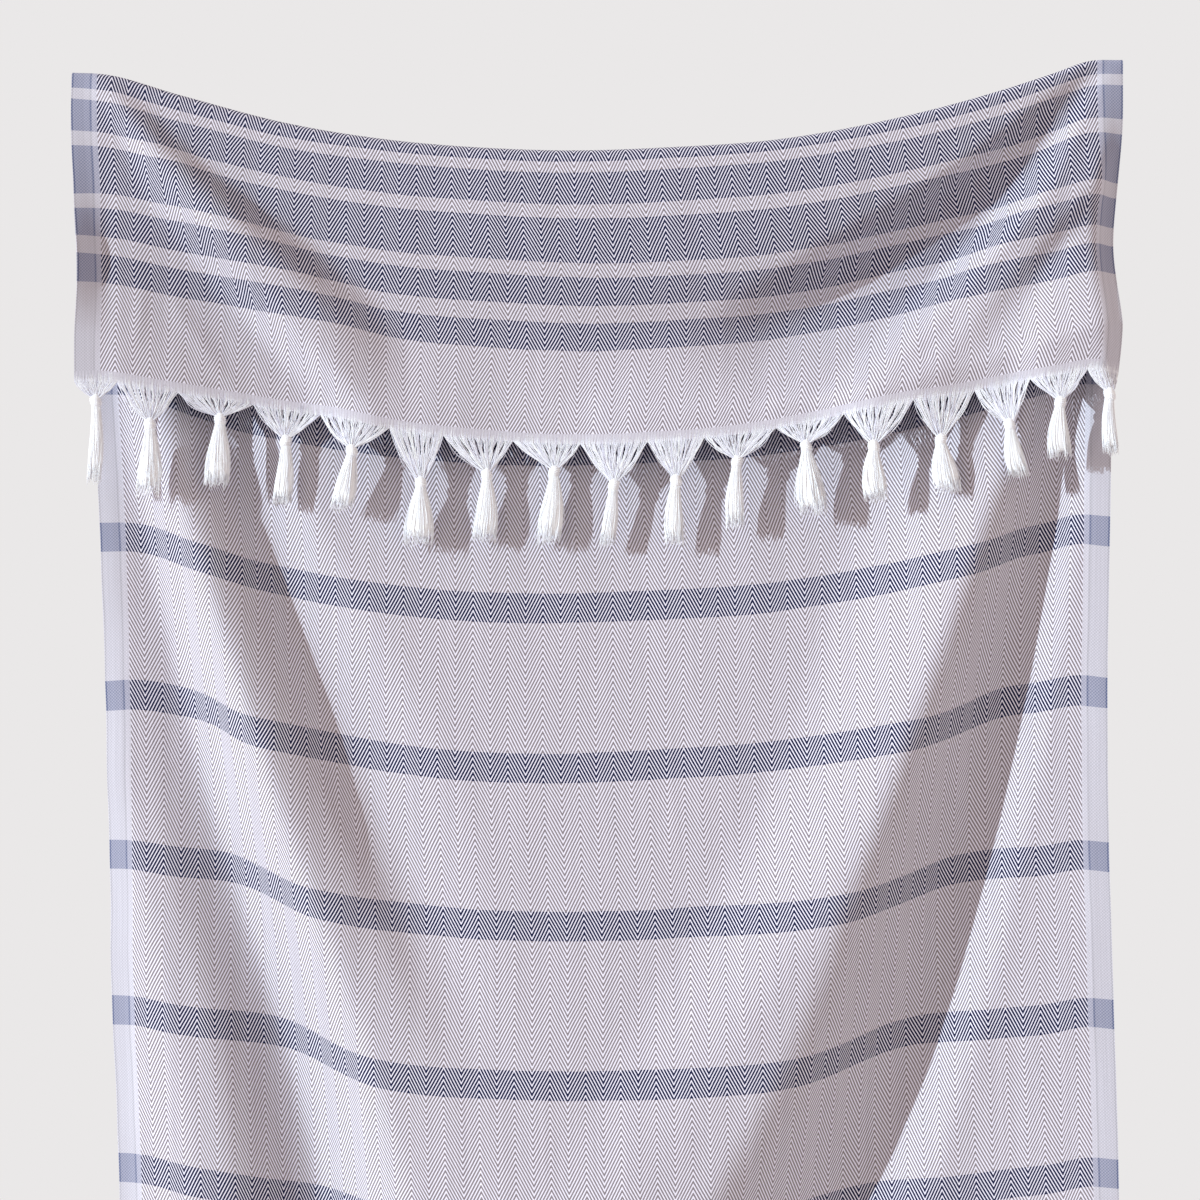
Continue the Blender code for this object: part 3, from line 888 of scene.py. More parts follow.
@dataclass
class YarnBundle:
    """Many strands of yarn that become one mesh.

    Attributes:
        rings: for each set of strands, their points: strands by stations by sides.
        shades: a shade for each strand of each set.
    """

    rings: list[Array] = field(default_factory=list)
    shades: list[Array] = field(default_factory=list)

    def add(self, paths: Array, radii: Array, sides: int, aside: Array, shades: Array) -> None:
        """Add strands of round yarn.

        Args:
            paths: strands by stations, points in metres.
            radii: strands by stations, and by sides where the yarn isn't round, in metres.
            sides: how many sides the yarn has.
            aside: a vector for each point, or one for all, that no strand runs along.
            shades: one for each strand, from 0 to 1.
        """
        along = unit(np.gradient(paths, axis=1))
        normal = unit(np.cross(along, np.broadcast_to(aside, along.shape)))
        binormal = np.cross(along, normal)
        angles = np.arange(sides) * 2 * math.pi / sides
        turn = np.cos(angles)[:, None] * normal[:, :, None] + np.sin(angles)[:, None] * binormal[:, :, None]
        self.rings.append(paths[:, :, None] + radii.reshape(*radii.shape[:2], -1, 1) * turn)
        self.shades.append(shades)

    def mesh(self, name: str) -> bpy.types.Mesh:
        """Join all strands into one mesh, with a map along them and their shades.

        Args:
            name: the mesh's name.

        Returns:
            The mesh, in world coordinates.
        """
        points, faces, maps, shades = [], [], [], []
        total = sum(len(rings) for rings in self.rings)
        start, column = 0, 0
        for rings, strand_shades in zip(self.rings, self.shades):
            strands, stations, sides = rings.shape[:3]
            index = start + np.arange(strands * stations * sides).reshape(strands, stations, sides)
            after = np.roll(index, -1, axis=2)
            walls = np.stack((index[:, :-1], after[:, :-1], after[:, 1:], index[:, 1:]), axis=-1)
            faces += walls.reshape(-1, 4).tolist()
            faces += index[:, 0, ::-1].tolist() + index[:, -1].tolist()
            maps.append(self.strand_map((strands, stations, sides), column, total))
            points.append(rings.reshape(-1, 3))
            shades.append(np.repeat(strand_shades, stations * sides))
            start += strands * stations * sides
            column += strands
        mesh = bpy.data.meshes.new(name)
        mesh.from_pydata(np.concatenate(points).tolist(), [], faces)
        places = np.concatenate(maps).reshape(-1).astype(np.float32)
        mesh.uv_layers.new(name=UV_MAP).uv.foreach_set("vector", places)
        shade = mesh.attributes.new("shade", "FLOAT", "POINT")
        shade.data.foreach_set("value", np.concatenate(shades).astype(np.float32))
        mesh.shade_smooth()
        return mesh

    @staticmethod
    def strand_map(shape: tuple[int, int, int], column: int, total: int) -> Array:
        """Map a set of strands: each has a column to itself, with its length running up the column.

        Args:
            shape: how many strands, stations and sides the set has.
            column: the first strand's column.
            total: how many columns there are in all.

        Returns:
            A place for each corner: those of the walls, then of the first ends, then of the last ends.
        """
        strands, stations, sides = shape
        margin, foot = 0.1, 0.002
        around = (np.arange(sides + 1) / sides)[None, None, :]
        left = (column + np.arange(strands))[:, None, None] + margin
        level = np.linspace(foot, 1 - foot, stations)[None, :, None]
        u = np.broadcast_to((left + (1 - 2 * margin) * around) / total, (strands, stations, sides + 1))
        grid = np.stack((u, np.broadcast_to(level, u.shape)), axis=-1)
        corners = (grid[:, :-1, :-1], grid[:, :-1, 1:], grid[:, 1:, 1:], grid[:, 1:, :-1])
        walls = np.stack(corners, axis=3).reshape(-1, 2)
        first_ends = grid[:, 0, sides - 1::-1].reshape(-1, 2)
        last_ends = grid[:, -1, :sides].reshape(-1, 2)
        return np.concatenate((walls, first_ends, last_ends))


def hermite(start: Array, end: Array, leaving: Array, arriving: Array, stations: int) -> Array:
    """Smooth paths between two sets of points.

    Args:
        start: the first point of each path.
        end: the last point of each.
        leaving: each path's direction and pull at its start.
        arriving: the same at its end.
        stations: how many points each path gets.

    Returns:
        Paths by stations, as points.
    """
    t = np.linspace(0, 1, stations)[None, :, None]
    plain = start[:, None] + (3 * t ** 2 - 2 * t ** 3) * (end - start)[:, None]
    pulled = (t ** 3 - 2 * t ** 2 + t) * leaving[:, None] + (t ** 3 - t ** 2) * arriving[:, None]
    return plain + pulled


@dataclass(frozen=True)
class FanFall:
    """How the strands of a fan fall. Pairs are the least and the greatest value that a strand may take.

    Attributes:
        strands: strands from the hem to the knot.
        stations: points along a strand between them.
        tufts: how many tufts the strands gather in.
        tuft_place: where a tuft draws together in its own part of the hem, as a share of that.
        tuft_pull: how far a strand is drawn to its tuft, as a share of the way.
        hem_reach: the outermost strands' places along the stretch of hem.
        rear: strands whose level is under this leave the rear face of the hem.
        sunk: how far a strand's middle stands off the hem's middle, as a share of lying on its face.
        lap: how far the strands start up the hem, in mm.
        entry: where the outermost strands enter the knot across, in depth and above its middle, as shares
            of its radius and of half its height.
        tip: where in the knot a strand ends, beside where it enters.
        sag: how far a strand sags, as a share of its length.
        outer_sag: how much more the outermost strands sag.
        light_side: how much of that the strands of the lighter side have.
        sag_spread: how unevenly the strands sag.
        taut: the share of the strands that are not loose.
        loose_sag: how many times as far the loose ones sag.
        leaving: how strongly a strand leaves the hem straight for the knot.
        arriving: how a sagging strand turns as it enters the knot, across, in depth and upwards.
        wander: how far a strand wanders aside, in mm.
        wander_turns: how fast it does, as the angle over its length.
        swell: how far the fan swells to the front, in mm, and how much more for its front strands.
        fineness: how thick a strand is beside the yarn.
        root: how thick it starts on the hem, beside that.
    """

    strands: int = 116
    stations: int = 11
    tufts: int = 9
    tuft_place: Table = (0.3, 0.7)
    tuft_pull: Table = (0.1, 0.9)
    hem_reach: Table = (0.006, 0.994)
    rear: float = -0.6
    sunk: float = 0.6
    lap: Table = (2.7, 9.0)
    entry: Table = (0.62, 0.5, 0.6)
    tip: Table = (0.5, 0.5, 0.0)
    sag: float = 0.12
    outer_sag: float = 0.3
    light_side: float = 0.45
    sag_spread: float = 0.15
    taut: float = 0.93
    loose_sag: Table = (1.5, 2.4)
    leaving: float = 0.75
    arriving: Table = (0.5, 0.0, -0.4)
    wander: float = 1.1
    wander_turns: Table = (2, 8)
    swell: Table = (0.8, 1.2)
    fineness: Table = (0.75, 1.2)
    root: float = 0.3


@dataclass(frozen=True)
class KnotTie:
    """How the knots are tied. Pairs are the least and the greatest value that a knot may take.

    Attributes:
        radius: half the knot's width, in mm.
        half_height: half its height, in mm.
        wraps: strands side by side round the knot.
        turns: how often they go round it.
        start: where they start round it, in half turns.
        slant: how steeply they rise across it.
        stations: points along a wrap.
        sides: how many sides a wrap has.
        tuck: how gently the wraps come out of the knot and go back in.
        tucked: how close to the middle they start and end, as shares of the radius and of their height.
        bulge: how much the knot narrows to its top and bottom.
        depth: its depth beside its width.
        fullness: how thick a wrap is beside its part of the knot's height.
        shade: the darkest wrap's shade.
        core_reach: how far the core reaches up and down, beside half the knot's height.
        core_bulge: how much the core narrows.
        core_stations: points down the core.
        core_sides: how many sides it has.
        core_shade: its shade.
    """

    radius: float = 6.0
    half_height: float = 5.8
    wraps: int = 6
    turns: float = 1.3
    start: Table = (0.9, 1.2)
    slant: Table = (0.15, 0.4)
    stations: int = 28
    sides: int = 6
    tuck: float = 0.3
    tucked: Table = (0.6, 0.5)
    bulge: float = 0.68
    depth: float = 0.9
    fullness: float = 1.15
    shade: float = 0.5
    core_reach: float = 1.1
    core_bulge: float = 0.65
    core_stations: int = 9
    core_sides: int = 16
    core_shade: float = 0.8


@dataclass(frozen=True)
class SkirtFall:
    """How a skirt falls. Pairs are the least and the greatest value that a strand may take.

    Attributes:
        bow: how far the skirt bows aside at most, in mm.
        neck: half its width and depth at the knot, as shares of the knot's radius.
        foot: half its width and depth at its end, as shares of half its width there.
        full_at: where it reaches that girth, as a share of its length.
        spring: how late it does.
        bell_end: where its close bell ends, as a share of its length.
        bell_girth: the bell's girth beside the skirt's, down to where that is full and at the bell's end.
        bell_stations: points down the bell.
        flutes: how many flutes it has.
        flute_depth: how deep they are, as a share of its girth.
        flute_spread: how uneven they are.
        bell_shade: its shade.
        strands: strands that lie loose on the skirt.
        stations: points along one of them.
        top: where they start, as a share of its length.
        cut_spread: how unevenly they were cut, as a share of its length.
        whole: the share of them that are not cut short.
        short_by: how much shorter the others are.
        turn_spread: how far they turn round the skirt, as an angle.
        close: the share of them that lie close.
        stray: how far the others stray, as a share of its girth.
        level: how high they lie, as a share of its girth.
        outer: the share of them whose ends stay outside.
        inner: how far inwards the others' ends turn, as a share of its girth.
        turns_in: where they do, as a share of their length.
        swing: how far they swing at their ends, in mm.
        swing_turns: how fast they do, as the angle over their length.
        fineness: how thick they are beside the yarn.
        taper: how much thinner they end.
        taper_from: how late they taper.
        shade: the darkest strand's shade.
    """

    bow: float = 1.8
    neck: Table = (0.62, 0.58)
    foot: Table = (0.96, 0.5)
    full_at: float = 0.8
    spring: float = 1.2
    bell_end: float = 0.91
    bell_girth: Table = (0.95, 0.7)
    bell_stations: int = 14
    flutes: int = 22
    flute_depth: float = 0.025
    flute_spread: float = 0.02
    bell_shade: float = 0.9
    strands: int = 84
    stations: int = 9
    top: float = 0.02
    cut_spread: float = 0.045
    whole: float = 0.94
    short_by: float = 0.1
    turn_spread: float = 0.25
    close: float = 0.9
    stray: Table = (0.1, 0.3)
    level: Table = (0.9, 1.0)
    outer: float = 0.6
    inner: Table = (0.2, 0.9)
    turns_in: float = 0.75
    swing: float = 0.35
    swing_turns: Table = (4, 11)
    fineness: Table = (0.8, 1.15)
    taper: float = 0.4
    taper_from: int = 6
    shade: float = 0.6


@dataclass
class Tassel:
    """One knotted tassel of the cloth's own warp ends.

    Attributes:
        name: the piece's name, after its node.
        hem: the stretch of hem that it gathers.
        cut: how it was gathered and cut.
        seed: the start of its random draws.
        behind: the cloth whose back layer it leans on, if it does.
        fan: how its fan falls.
        tie: how its knot is tied.
        skirt: how its skirt falls.
        rest: from the middle of a tassel to the middle of the layer behind, in mm.
        strand_rest: the same for a single strand.
        yarn: the yarn's radius, in mm.
        yarn_sides: how many sides a strand has.
        hem_half: half the hem's thickness, in mm.
    """

    name: str
    hem: HemLine
    cut: TasselCut
    seed: int
    behind: HangingSheet | None = None
    fan: FanFall = FanFall()
    tie: KnotTie = KnotTie()
    skirt: SkirtFall = SkirtFall()
    rest: float = 14.0
    strand_rest: float = 1.6
    yarn: float = 0.36
    yarn_sides: int = 4
    hem_half: float = 0.6

    def __post_init__(self) -> None:
        """Place the knot and the end of the skirt, and start the random draws."""
        self.draws = np.random.default_rng(self.seed)
        middle = self.hem.at(np.array([0.5]))[0][0]
        cut = self.cut
        self.knot = self.leaning(middle + np.array((cut.knot_shift, 0, -cut.knot_drop)) * MM, self.rest)
        low = self.knot + np.array((cut.skirt_lean, 0, -cut.skirt_length)) * MM
        self.low = self.leaning(low, self.rest)

    def leaning(self, points: Array, clear: float) -> Array:
        """Bring points forward to where they clear the layer behind, if there is one.

        Args:
            points: the points, in metres.
            clear: the least distance from the layer's middle, in mm.

        Returns:
            The points moved.
        """
        if self.behind is None:
            return points
        surface = -self.behind.back_height(points[..., 0] / MM, points[..., 2] / MM) * MM
        forward = np.minimum(points[..., 1], surface - clear * MM)
        return np.stack((points[..., 0], forward, points[..., 2]), axis=-1)

    def draw(self, least: float, greatest: float, *shape: int) -> Array:
        """Random values between two limits."""
        return self.draws.uniform(least, greatest, shape)

    def shade(self, count: int, darkest: float = 0.0) -> Array:
        """A shade for each of so many strands, from the darkest to 1."""
        return darkest + (1 - darkest) * self.draw(0, 1, count)

    def lay_fan(self, bundle: YarnBundle) -> None:
        """Add the strands that leave the hem, draw together in sagging curves and enter the knot.

        Args:
            bundle: the tassel's strands.
        """
        fan, count = self.fan, self.fan.strands
        share = (np.arange(count) + 0.5 + self.draw(-0.5, 0.5, count)) / count
        tuft = np.floor(share * fan.tufts)
        tuft = (tuft + self.draw(*fan.tuft_place, fan.tufts)[tuft.astype(int)]) / fan.tufts
        share = np.clip(share, *fan.hem_reach)
        edge, down, out = self.hem.at(share)
        level = self.draw(-1, 1, count)
        face = np.where(level > fan.rear, fan.sunk, -fan.sunk)[:, None]
        root = edge + out * face * (self.hem_half + self.yarn) * MM
        lap = root - down * self.draw(*fan.lap, count)[:, None] * MM
        aside = 2 * share - 1
        across, deep, high = fan.entry
        entry = np.stack((aside * across, level * deep, np.zeros(count)), axis=-1) * self.tie.radius
        entry[:, 2] = high * self.tie.half_height
        hang = self.sagging(root, self.knot + entry * MM, down, aside)
        self.gather(hang, tuft - share, level)
        tip = (self.knot + entry * np.array(fan.tip) * MM)[:, None]
        paths = np.concatenate((lap[:, None], hang, tip), axis=1)
        paths[:, 3:] = self.leaning(paths[:, 3:], self.strand_rest)
        radii = np.full(paths.shape[:2], self.yarn * MM) * self.draw(*fan.fineness, count, 1)
        radii[:, 0] *= fan.root
        # The fan's strands take every tone down to the dark colour. This is random, and partly painted shade
        # for the shade that its threads throw on each other.
        bundle.add(paths, radii, self.yarn_sides, INWARD, self.shade(count))

    def sagging(self, root: Array, top: Array, down: Array, aside: Array) -> Array:
        """Hang the fan's strands between the hem and the knot, most sag at one side, loose ones more.

        Args:
            root: where each strand leaves the hem, in metres.
            top: where it enters the knot.
            down: the hem's direction down at its root.
            aside: its place along the hem, from -1 at the left to 1 at the right.

        Returns:
            The strands' paths, strands by stations, in metres.
        """
        fan, count = self.fan, len(aside)
        heavier = self.draws.choice((-1, -1, 1))
        outer = np.abs(aside) * np.where(np.sign(aside) == heavier, 1.0, fan.light_side)
        loose = np.where(self.draw(0, 1, count) > fan.taut, self.draw(*fan.loose_sag, count), 1.0)
        uneven = self.draws.normal(1.0, fan.sag_spread, count)
        sag = ((fan.sag + fan.outer_sag * outer) * uneven * loose)[:, None]
        chord = top - root
        leaving = fan.leaving * chord + sag * down * np.linalg.norm(chord, axis=1, keepdims=True)
        arriving = chord * (1 + np.array(fan.arriving) * sag)
        return hermite(root, top, leaving, arriving, fan.stations)

    def gather(self, hang: Array, to_tuft: Array, level: Array) -> None:
        """Draw hanging strands together in tufts, let them wander, and swell the fan to the front.

        Args:
            hang: the strands' paths, in metres, which it changes.
            to_tuft: how far aside each strand's tuft lies, as a share of the hem's stretch.
            level: how far forward in the fan each strand lies, from -1 to 1.
        """
        fan, count = self.fan, len(level)
        t = np.linspace(0, 1, fan.stations)[None, :]
        bulge = np.sin(math.pi * t)
        pull = to_tuft[:, None] * self.draw(*fan.tuft_pull, count, 1) * self.cut.root_width
        phase = self.draw(0, 2 * math.pi, count, 1)
        wander = fan.wander * np.sin(phase + self.draw(*fan.wander_turns, count, 1) * t)
        hang[:, :, 0] += MM * (pull * bulge * (1 - t) + wander * bulge)
        hang[:, :, 1] -= MM * bulge * (fan.swell[0] + fan.swell[1] * level[:, None])

    def tie_knot(self, bundle: YarnBundle) -> None:
        """Add the knot: strands side by side that wrap round it on the slant, and a firm core.

        Args:
            bundle: the tassel's strands.
        """
        tie = self.tie
        places = np.linspace(-1, 1, tie.wraps)
        start = self.draws.uniform(*tie.start) * math.pi
        angle = start + np.linspace(0, 2 * tie.turns * math.pi, tie.stations)
        slant = self.draws.choice((-1, 1)) * self.draws.uniform(*tie.slant)
        tuck = np.sin(np.linspace(0, math.pi, tie.stations)) ** tie.tuck
        thread = tie.half_height / tie.wraps
        inner, low = tie.tucked
        bulb = (tie.radius - thread) * np.sqrt(1 - tie.bulge * places ** 2)
        radius = bulb[:, None] * (inner + (1 - inner) * tuck)
        x, y = radius * np.cos(angle), radius * tie.depth * np.sin(angle)
        z = places[:, None] * (tie.half_height - thread) * (low + (1 - low) * tuck) + slant * x
        paths = self.knot + np.stack((x, y, z), axis=-1) * MM
        outward = np.stack((np.cos(angle), np.sin(angle), np.zeros(tie.stations)), axis=-1)
        radii = np.full(paths.shape[:2], tie.fullness * thread * MM)
        shades = self.shade(tie.wraps, tie.shade)
        bundle.add(paths, radii, tie.sides, np.broadcast_to(outward, paths.shape), shades)
        rise = np.linspace(tie.core_reach, -tie.core_reach, tie.core_stations)
        core = self.knot + np.stack((0 * rise, 0 * rise, tie.half_height * rise), axis=-1) * MM
        girth = (tie.radius - thread) * np.sqrt(1 - tie.core_bulge * rise ** 2) * MM
        bundle.add(core[None], girth[None], tie.core_sides, INWARD, np.array([tie.core_shade]))

    def axis(self, t: Array, bow: float) -> Array:
        """Points down the middle of the skirt, which bows a little aside, at shares of its length."""
        straight = self.knot + (self.low - self.knot) * t[..., None]
        return straight + np.stack((bow * MM * np.sin(math.pi * t), 0 * t, 0 * t), axis=-1)

    def girth(self, t: Array) -> Array:
        """Read the skirt's girth, which grows fast from the knot and then holds.

        Args:
            t: shares of the skirt's length.

        Returns:
            Half its width and half its depth there, in mm, in the last axis.
        """
        skirt = self.skirt
        neck = np.array(skirt.neck) * self.tie.radius
        foot = self.cut.skirt_width / 2 * np.array(skirt.foot)
        grown = np.sin(np.minimum(t / skirt.full_at, 1) * math.pi / 2) ** skirt.spring
        return neck + (foot - neck) * grown[..., None]

    def hang_skirt(self, bundle: YarnBundle) -> None:
        """Add the skirt: its inner strands as one close, fluted bell, and loose strands that lie along it.

        Args:
            bundle: the tassel's strands.
        """
        skirt, sides = self.skirt, 2 * self.skirt.flutes
        bow = self.draws.uniform(-skirt.bow, skirt.bow)
        t = np.linspace(0, skirt.bell_end, skirt.bell_stations)
        angles = np.arange(sides) * 2 * math.pi / sides
        width, depth = self.girth(t).T[..., None]
        oval = width * depth / np.hypot(depth * np.cos(angles), width * np.sin(angles))
        uneven = self.draws.normal(0, skirt.flute_spread, sides)
        flute = 1 + skirt.flute_depth * np.where(np.arange(sides) % 2, 1, -1) + uneven
        full, closed = skirt.bell_girth
        closing = np.interp(t, (0, skirt.full_at, skirt.bell_end), (full, full, closed))[:, None]
        radii = (oval * flute * closing * MM)[None]
        bundle.add(self.axis(t, bow)[None], radii, sides, INWARD, np.array([skirt.bell_shade]))
        self.lay_loose_strands(bundle, bow)

    def lay_loose_strands(self, bundle: YarnBundle, bow: float) -> None:
        """Add strands on the skirt's surface, each cut where its end fell; a few stray from it.

        Args:
            bundle: the tassel's strands.
            bow: how far the skirt bows aside, in mm.
        """
        skirt, count = self.skirt, self.skirt.strands
        uneven = self.draws.normal(0.0, skirt.cut_spread, count)
        reach = (1 + uneven - skirt.short_by * (self.draw(0, 1, count) > skirt.whole))[:, None]
        t = np.linspace(skirt.top, 1, skirt.stations) * reach
        turn = self.draw(0, 2 * math.pi, count, 1) + self.draws.normal(0, skirt.turn_spread, (count, 1)) * t
        stray = np.where(self.draw(0, 1, count, 1) > skirt.close, self.draw(*skirt.stray, count, 1), 0.0)
        level = self.draw(*skirt.level, count, 1) + stray * t ** 2
        inner = np.where(self.draw(0, 1, count, 1) > skirt.outer, self.draw(*skirt.inner, count, 1), 0.0)
        inside = 1 - inner * np.clip((t - skirt.turns_in) / (1 - skirt.turns_in), 0, 1)
        size = self.girth(np.minimum(t, 1)) * (level * inside)[..., None]
        phase = self.draw(0, 2 * math.pi, 2, count, 1)
        swing = skirt.swing * np.sin(phase + self.draw(*skirt.swing_turns, 2, count, 1) * t) * t
        paths = self.axis(t, bow)
        paths[..., 0] += (size[..., 0] * np.cos(turn) + swing[0]) * MM
        paths[..., 1] += (size[..., 1] * np.sin(turn) + swing[1]) * MM
        taper = 1 - skirt.taper * (t / reach) ** skirt.taper_from
        radii = self.yarn * MM * self.draw(*skirt.fineness, count, 1) * taper
        shades = self.shade(count, skirt.shade)
        bundle.add(self.leaning(paths, self.strand_rest), radii, self.yarn_sides, INWARD, shades)

    def build(self, finish: bpy.types.Material) -> bpy.types.Object:
        """Make the tassel's piece.

        Args:
            finish: the yarn's material.

        Returns:
            The piece.
        """
        bundle = YarnBundle()
        self.lay_fan(bundle)
        self.tie_knot(bundle)
        self.hang_skirt(bundle)
        return add_piece(f"yarn_{self.name}", bundle.mesh(self.name), finish, self.name)


@dataclass
class Fringe:
    """The row of tassels along one hem.

    Attributes:
        prefix: the name that its nodes share.
        hem: the hem that it hangs from.
        cuts: its tassels, from left to right.
        seed: the start of its random draws.
        behind: the sheet whose back layer it leans on, if it does.
    """

    prefix: str
    hem: HemLine
    cuts: tuple[TasselCut, ...]
    seed: int
    behind: HangingSheet | None = None

    def build(self, finish: bpy.types.Material) -> list[bpy.types.Object]:
        """Make its tassels.

        Args:
            finish: the yarn's material.

        Returns:
            Their pieces, from left to right.
        """
        stretches = self.hem.cut(tuple(cut.root_width for cut in self.cuts))
        pieces = []
        for number, (stretch, cut) in enumerate(zip(stretches, self.cuts), start=1):
            tassel = Tassel(f"{self.prefix}_{number:02d}", stretch, cut, self.seed + number, self.behind)
            pieces.append(tassel.build(finish))
        return pieces


# Finishes

@dataclass(frozen=True)
class Band:
    """One cross stripe of the cloth.

    Attributes:
        weft: the yarn that it is woven with.
        length: how far it runs along the cloth, in mm.
    """

    weft: Weft
    length: float


# From a hem to the middle of the cloth; the other half mirrors it.
BANDS = (
    Band(Weft.GREY, 92),
    Band(Weft.NAVY, 28.7),
    Band(Weft.GREY, 14.8),
    Band(Weft.NAVY, 28.7),
    Band(Weft.GREY, 14.8),
    Band(Weft.NAVY, 43.5),
    Band(Weft.GREY, 14.8),
    Band(Weft.NAVY, 28.7),
    Band(Weft.GREY, 12),
    Band(Weft.NAVY, 30),
    Band(Weft.GREY, 115.7),
    Band(Weft.NAVY, 27.6),
    Band(Weft.GREY, 120.9),
    Band(Weft.NAVY, 27.6),
    Band(Weft.GREY, 120.9),
    Band(Weft.NAVY, 27.6),
    Band(Weft.GREY, 120.9),
    Band(Weft.NAVY, 13.8),
)


# How much weft shows across a selvedge, from its side inwards, as places and shares: a pale side, a dark
# line, an even strip, and at its inner edge a dark line and a paler one.
SELVEDGE_STOPS = ((0.0, 0.44), (0.04, 1.0), (0.09, 0.69), (0.7, 0.66), (0.76, 0.88), (0.82, 0.54))


@dataclass(frozen=True)
class WeavePlan:
    """What the nodes of the weave share.

    Attributes:
        tree: the material's node tree.
        sheet: the cloth, for its sizes.
        across: the place across the cloth, in mm.
        along: the place along it, in mm.
        from_side: the distance from the nearer long side, in mm.
        on_body: 1 on the twill and 0 on the selvedges.
    """

    tree: Tree
    sheet: Sheet
    across: Socket
    along: Socket
    from_side: Node
    on_body: Node


@dataclass(frozen=True)
class HerringboneCotton:
    """Handloomed cotton in a 2/2 herringbone twill: a white warp, with bands of grey and navy weft.

    The eye gets fine slanting lines that turn back every 16 mm, soft and matt, with no shine but a faint
    bloom of fibres at grazing angles.

    Attributes:
        warp: the warp's colour as sRGB hex.
        repeat: the width of one peak of the herringbone, in mm.
        first_peak: the first peak's place across the cloth, in mm.
        ends: warp threads in a repeat.
        pick: the spacing of the weft threads, in mm. It is drawn as coarse as the photograph shows it.
        softness: how softly one thread gives way to the next, as a share of the lines' pitch.
        step: how much of the threads' steps shows in the slanting lines.
        wander: how far the threads wander across and along the cloth, in mm.
        wander_scale: how fast they do, in waves per mm: one in about 55 mm.
        check: how strongly the plain weave's check shows in the selvedges.
        hem_cover: the share of shade in the white hems.
        hem_check: how strongly their threads show.
        streak_ends: how many warp threads lie together in a lighter or darker streak.
        streak_scale: how fast the streaks change along the cloth, in waves per mm.
        streak_shades: the darkest and the lightest streak, beside the plain colour.
        relief: the height of a thread over its neighbours, in mm.
        thread_relief: the height of the single warp threads beside that of the slanting lines.
        relief_strength: how much of the relief shows.
        roughness: its roughness.
        specular: its specular level, low for loose fibres.
        sheen: how strong the bloom of fibres is.
        sheen_roughness: how wide it spreads.
    """

    warp: str = "E8E6F4"
    repeat: float = 32.5
    first_peak: float = 37.9
    ends: int = 44
    pick: float = 1.425
    softness: float = 0.06
    step: float = 0.2
    wander: tuple[float, float, float] = (1.6, 2.0, 0.0)
    wander_scale: float = 0.018
    check: float = 0.16
    hem_cover: float = 0.42
    hem_check: float = 0.08
    streak_ends: float = 2.0
    streak_scale: float = 0.006
    streak_shades: Table = (0.86, 1.12)
    relief: float = 0.12
    thread_relief: float = 0.3
    relief_strength: float = 0.5
    roughness: float = 0.92
    specular: float = 0.18
    sheen: float = 0.12
    sheen_roughness: float = 0.6

    def make(self, sheet: Sheet) -> bpy.types.Material:
        """Make the material for a sheet that carries the weave's map.

        Args:
            sheet: the cloth, for its sizes.

        Returns:
            The material.
        """
        material = bare_material("handloomed herringbone cotton")
        plan = self.plan(material.node_tree, sheet)
        line = self.twill_line(plan)
        share = self.weft_on_face(plan, line)
        shader = add_node(plan.tree, "BsdfPrincipled", {
            "Base Color": self.colour(plan, share), "Normal": self.bump(plan, line),
            "Roughness": self.roughness, "Specular IOR Level": self.specular,
            "Sheen Weight": self.sheen, "Sheen Roughness": self.sheen_roughness,
        })
        add_node(plan.tree, "OutputMaterial", {"Surface": shader})
        return material

    def plan(self, tree: Tree, sheet: Sheet) -> WeavePlan:
        """Read places on the cloth, with the slight wander of hand-thrown threads.

        Args:
            tree: the material's node tree.
            sheet: the cloth.

        Returns:
            What the other nodes start from.
        """
        spot = add_node(tree, "UVMap", uv_map=UV_MAP)
        size = (sheet.hanging.width, sheet.length, 0.0)
        scaled = add_node(tree, "VectorMath", {0: spot, 1: size}, operation="MULTIPLY")
        noise = add_node(tree, "TexNoise", {"Vector": scaled, "Scale": self.wander_scale, "Detail": 1.0})
        middle = (0.5, 0.5, 0.5)
        sway = add_node(tree, "VectorMath", {0: noise.outputs["Color"], 1: middle}, operation="SUBTRACT")
        moved = add_node(tree, "VectorMath", {0: sway, 1: self.wander, 2: scaled}, operation="MULTIPLY_ADD")
        place = add_node(tree, "SeparateXYZ", {0: moved})
        across, along = place.outputs["X"], place.outputs["Y"]
        from_side = add_node(tree, "Math", {0: across, 1: sheet.hanging.width / 2}, operation="PINGPONG")
        on_body = add_node(tree, "Math", {0: from_side, 1: sheet.selvedge}, operation="GREATER_THAN")
        return WeavePlan(tree, sheet, across, along, from_side, on_body)

    def twill_line(self, plan: WeavePlan) -> Node:
        """Draw the twill's slanting lines.

        Args:
            plan: places on the cloth.

        Returns:
            How far a point lies from the middle of a slanting warp line: 0 there, 1 midway to the next.
        """
        tree, end = plan.tree, self.repeat / self.ends
        pitch, slope = 4 * self.pick, self.pick / end
        shifted = add_node(tree, "Math", {0: plan.across, 1: self.first_peak}, operation="SUBTRACT")
        from_peak = add_node(tree, "Math", {0: shifted, 1: self.repeat / 2}, operation="PINGPONG")
        stepped = add_node(tree, "Math", {0: from_peak, 1: end}, operation="SNAP")
        smooth = add_node(tree, "Math", {0: from_peak, 1: 1 - self.step}, operation="MULTIPLY")
        place = add_node(tree, "Math", {0: stepped, 1: self.step, 2: smooth}, operation="MULTIPLY_ADD")
        level = add_node(tree, "Math", {0: place, 1: slope, 2: plan.along}, operation="MULTIPLY_ADD")
        folded = add_node(tree, "Math", {0: level, 1: pitch / 2}, operation="PINGPONG")
        return add_node(tree, "Math", {0: folded, 1: 2 / pitch}, operation="MULTIPLY")

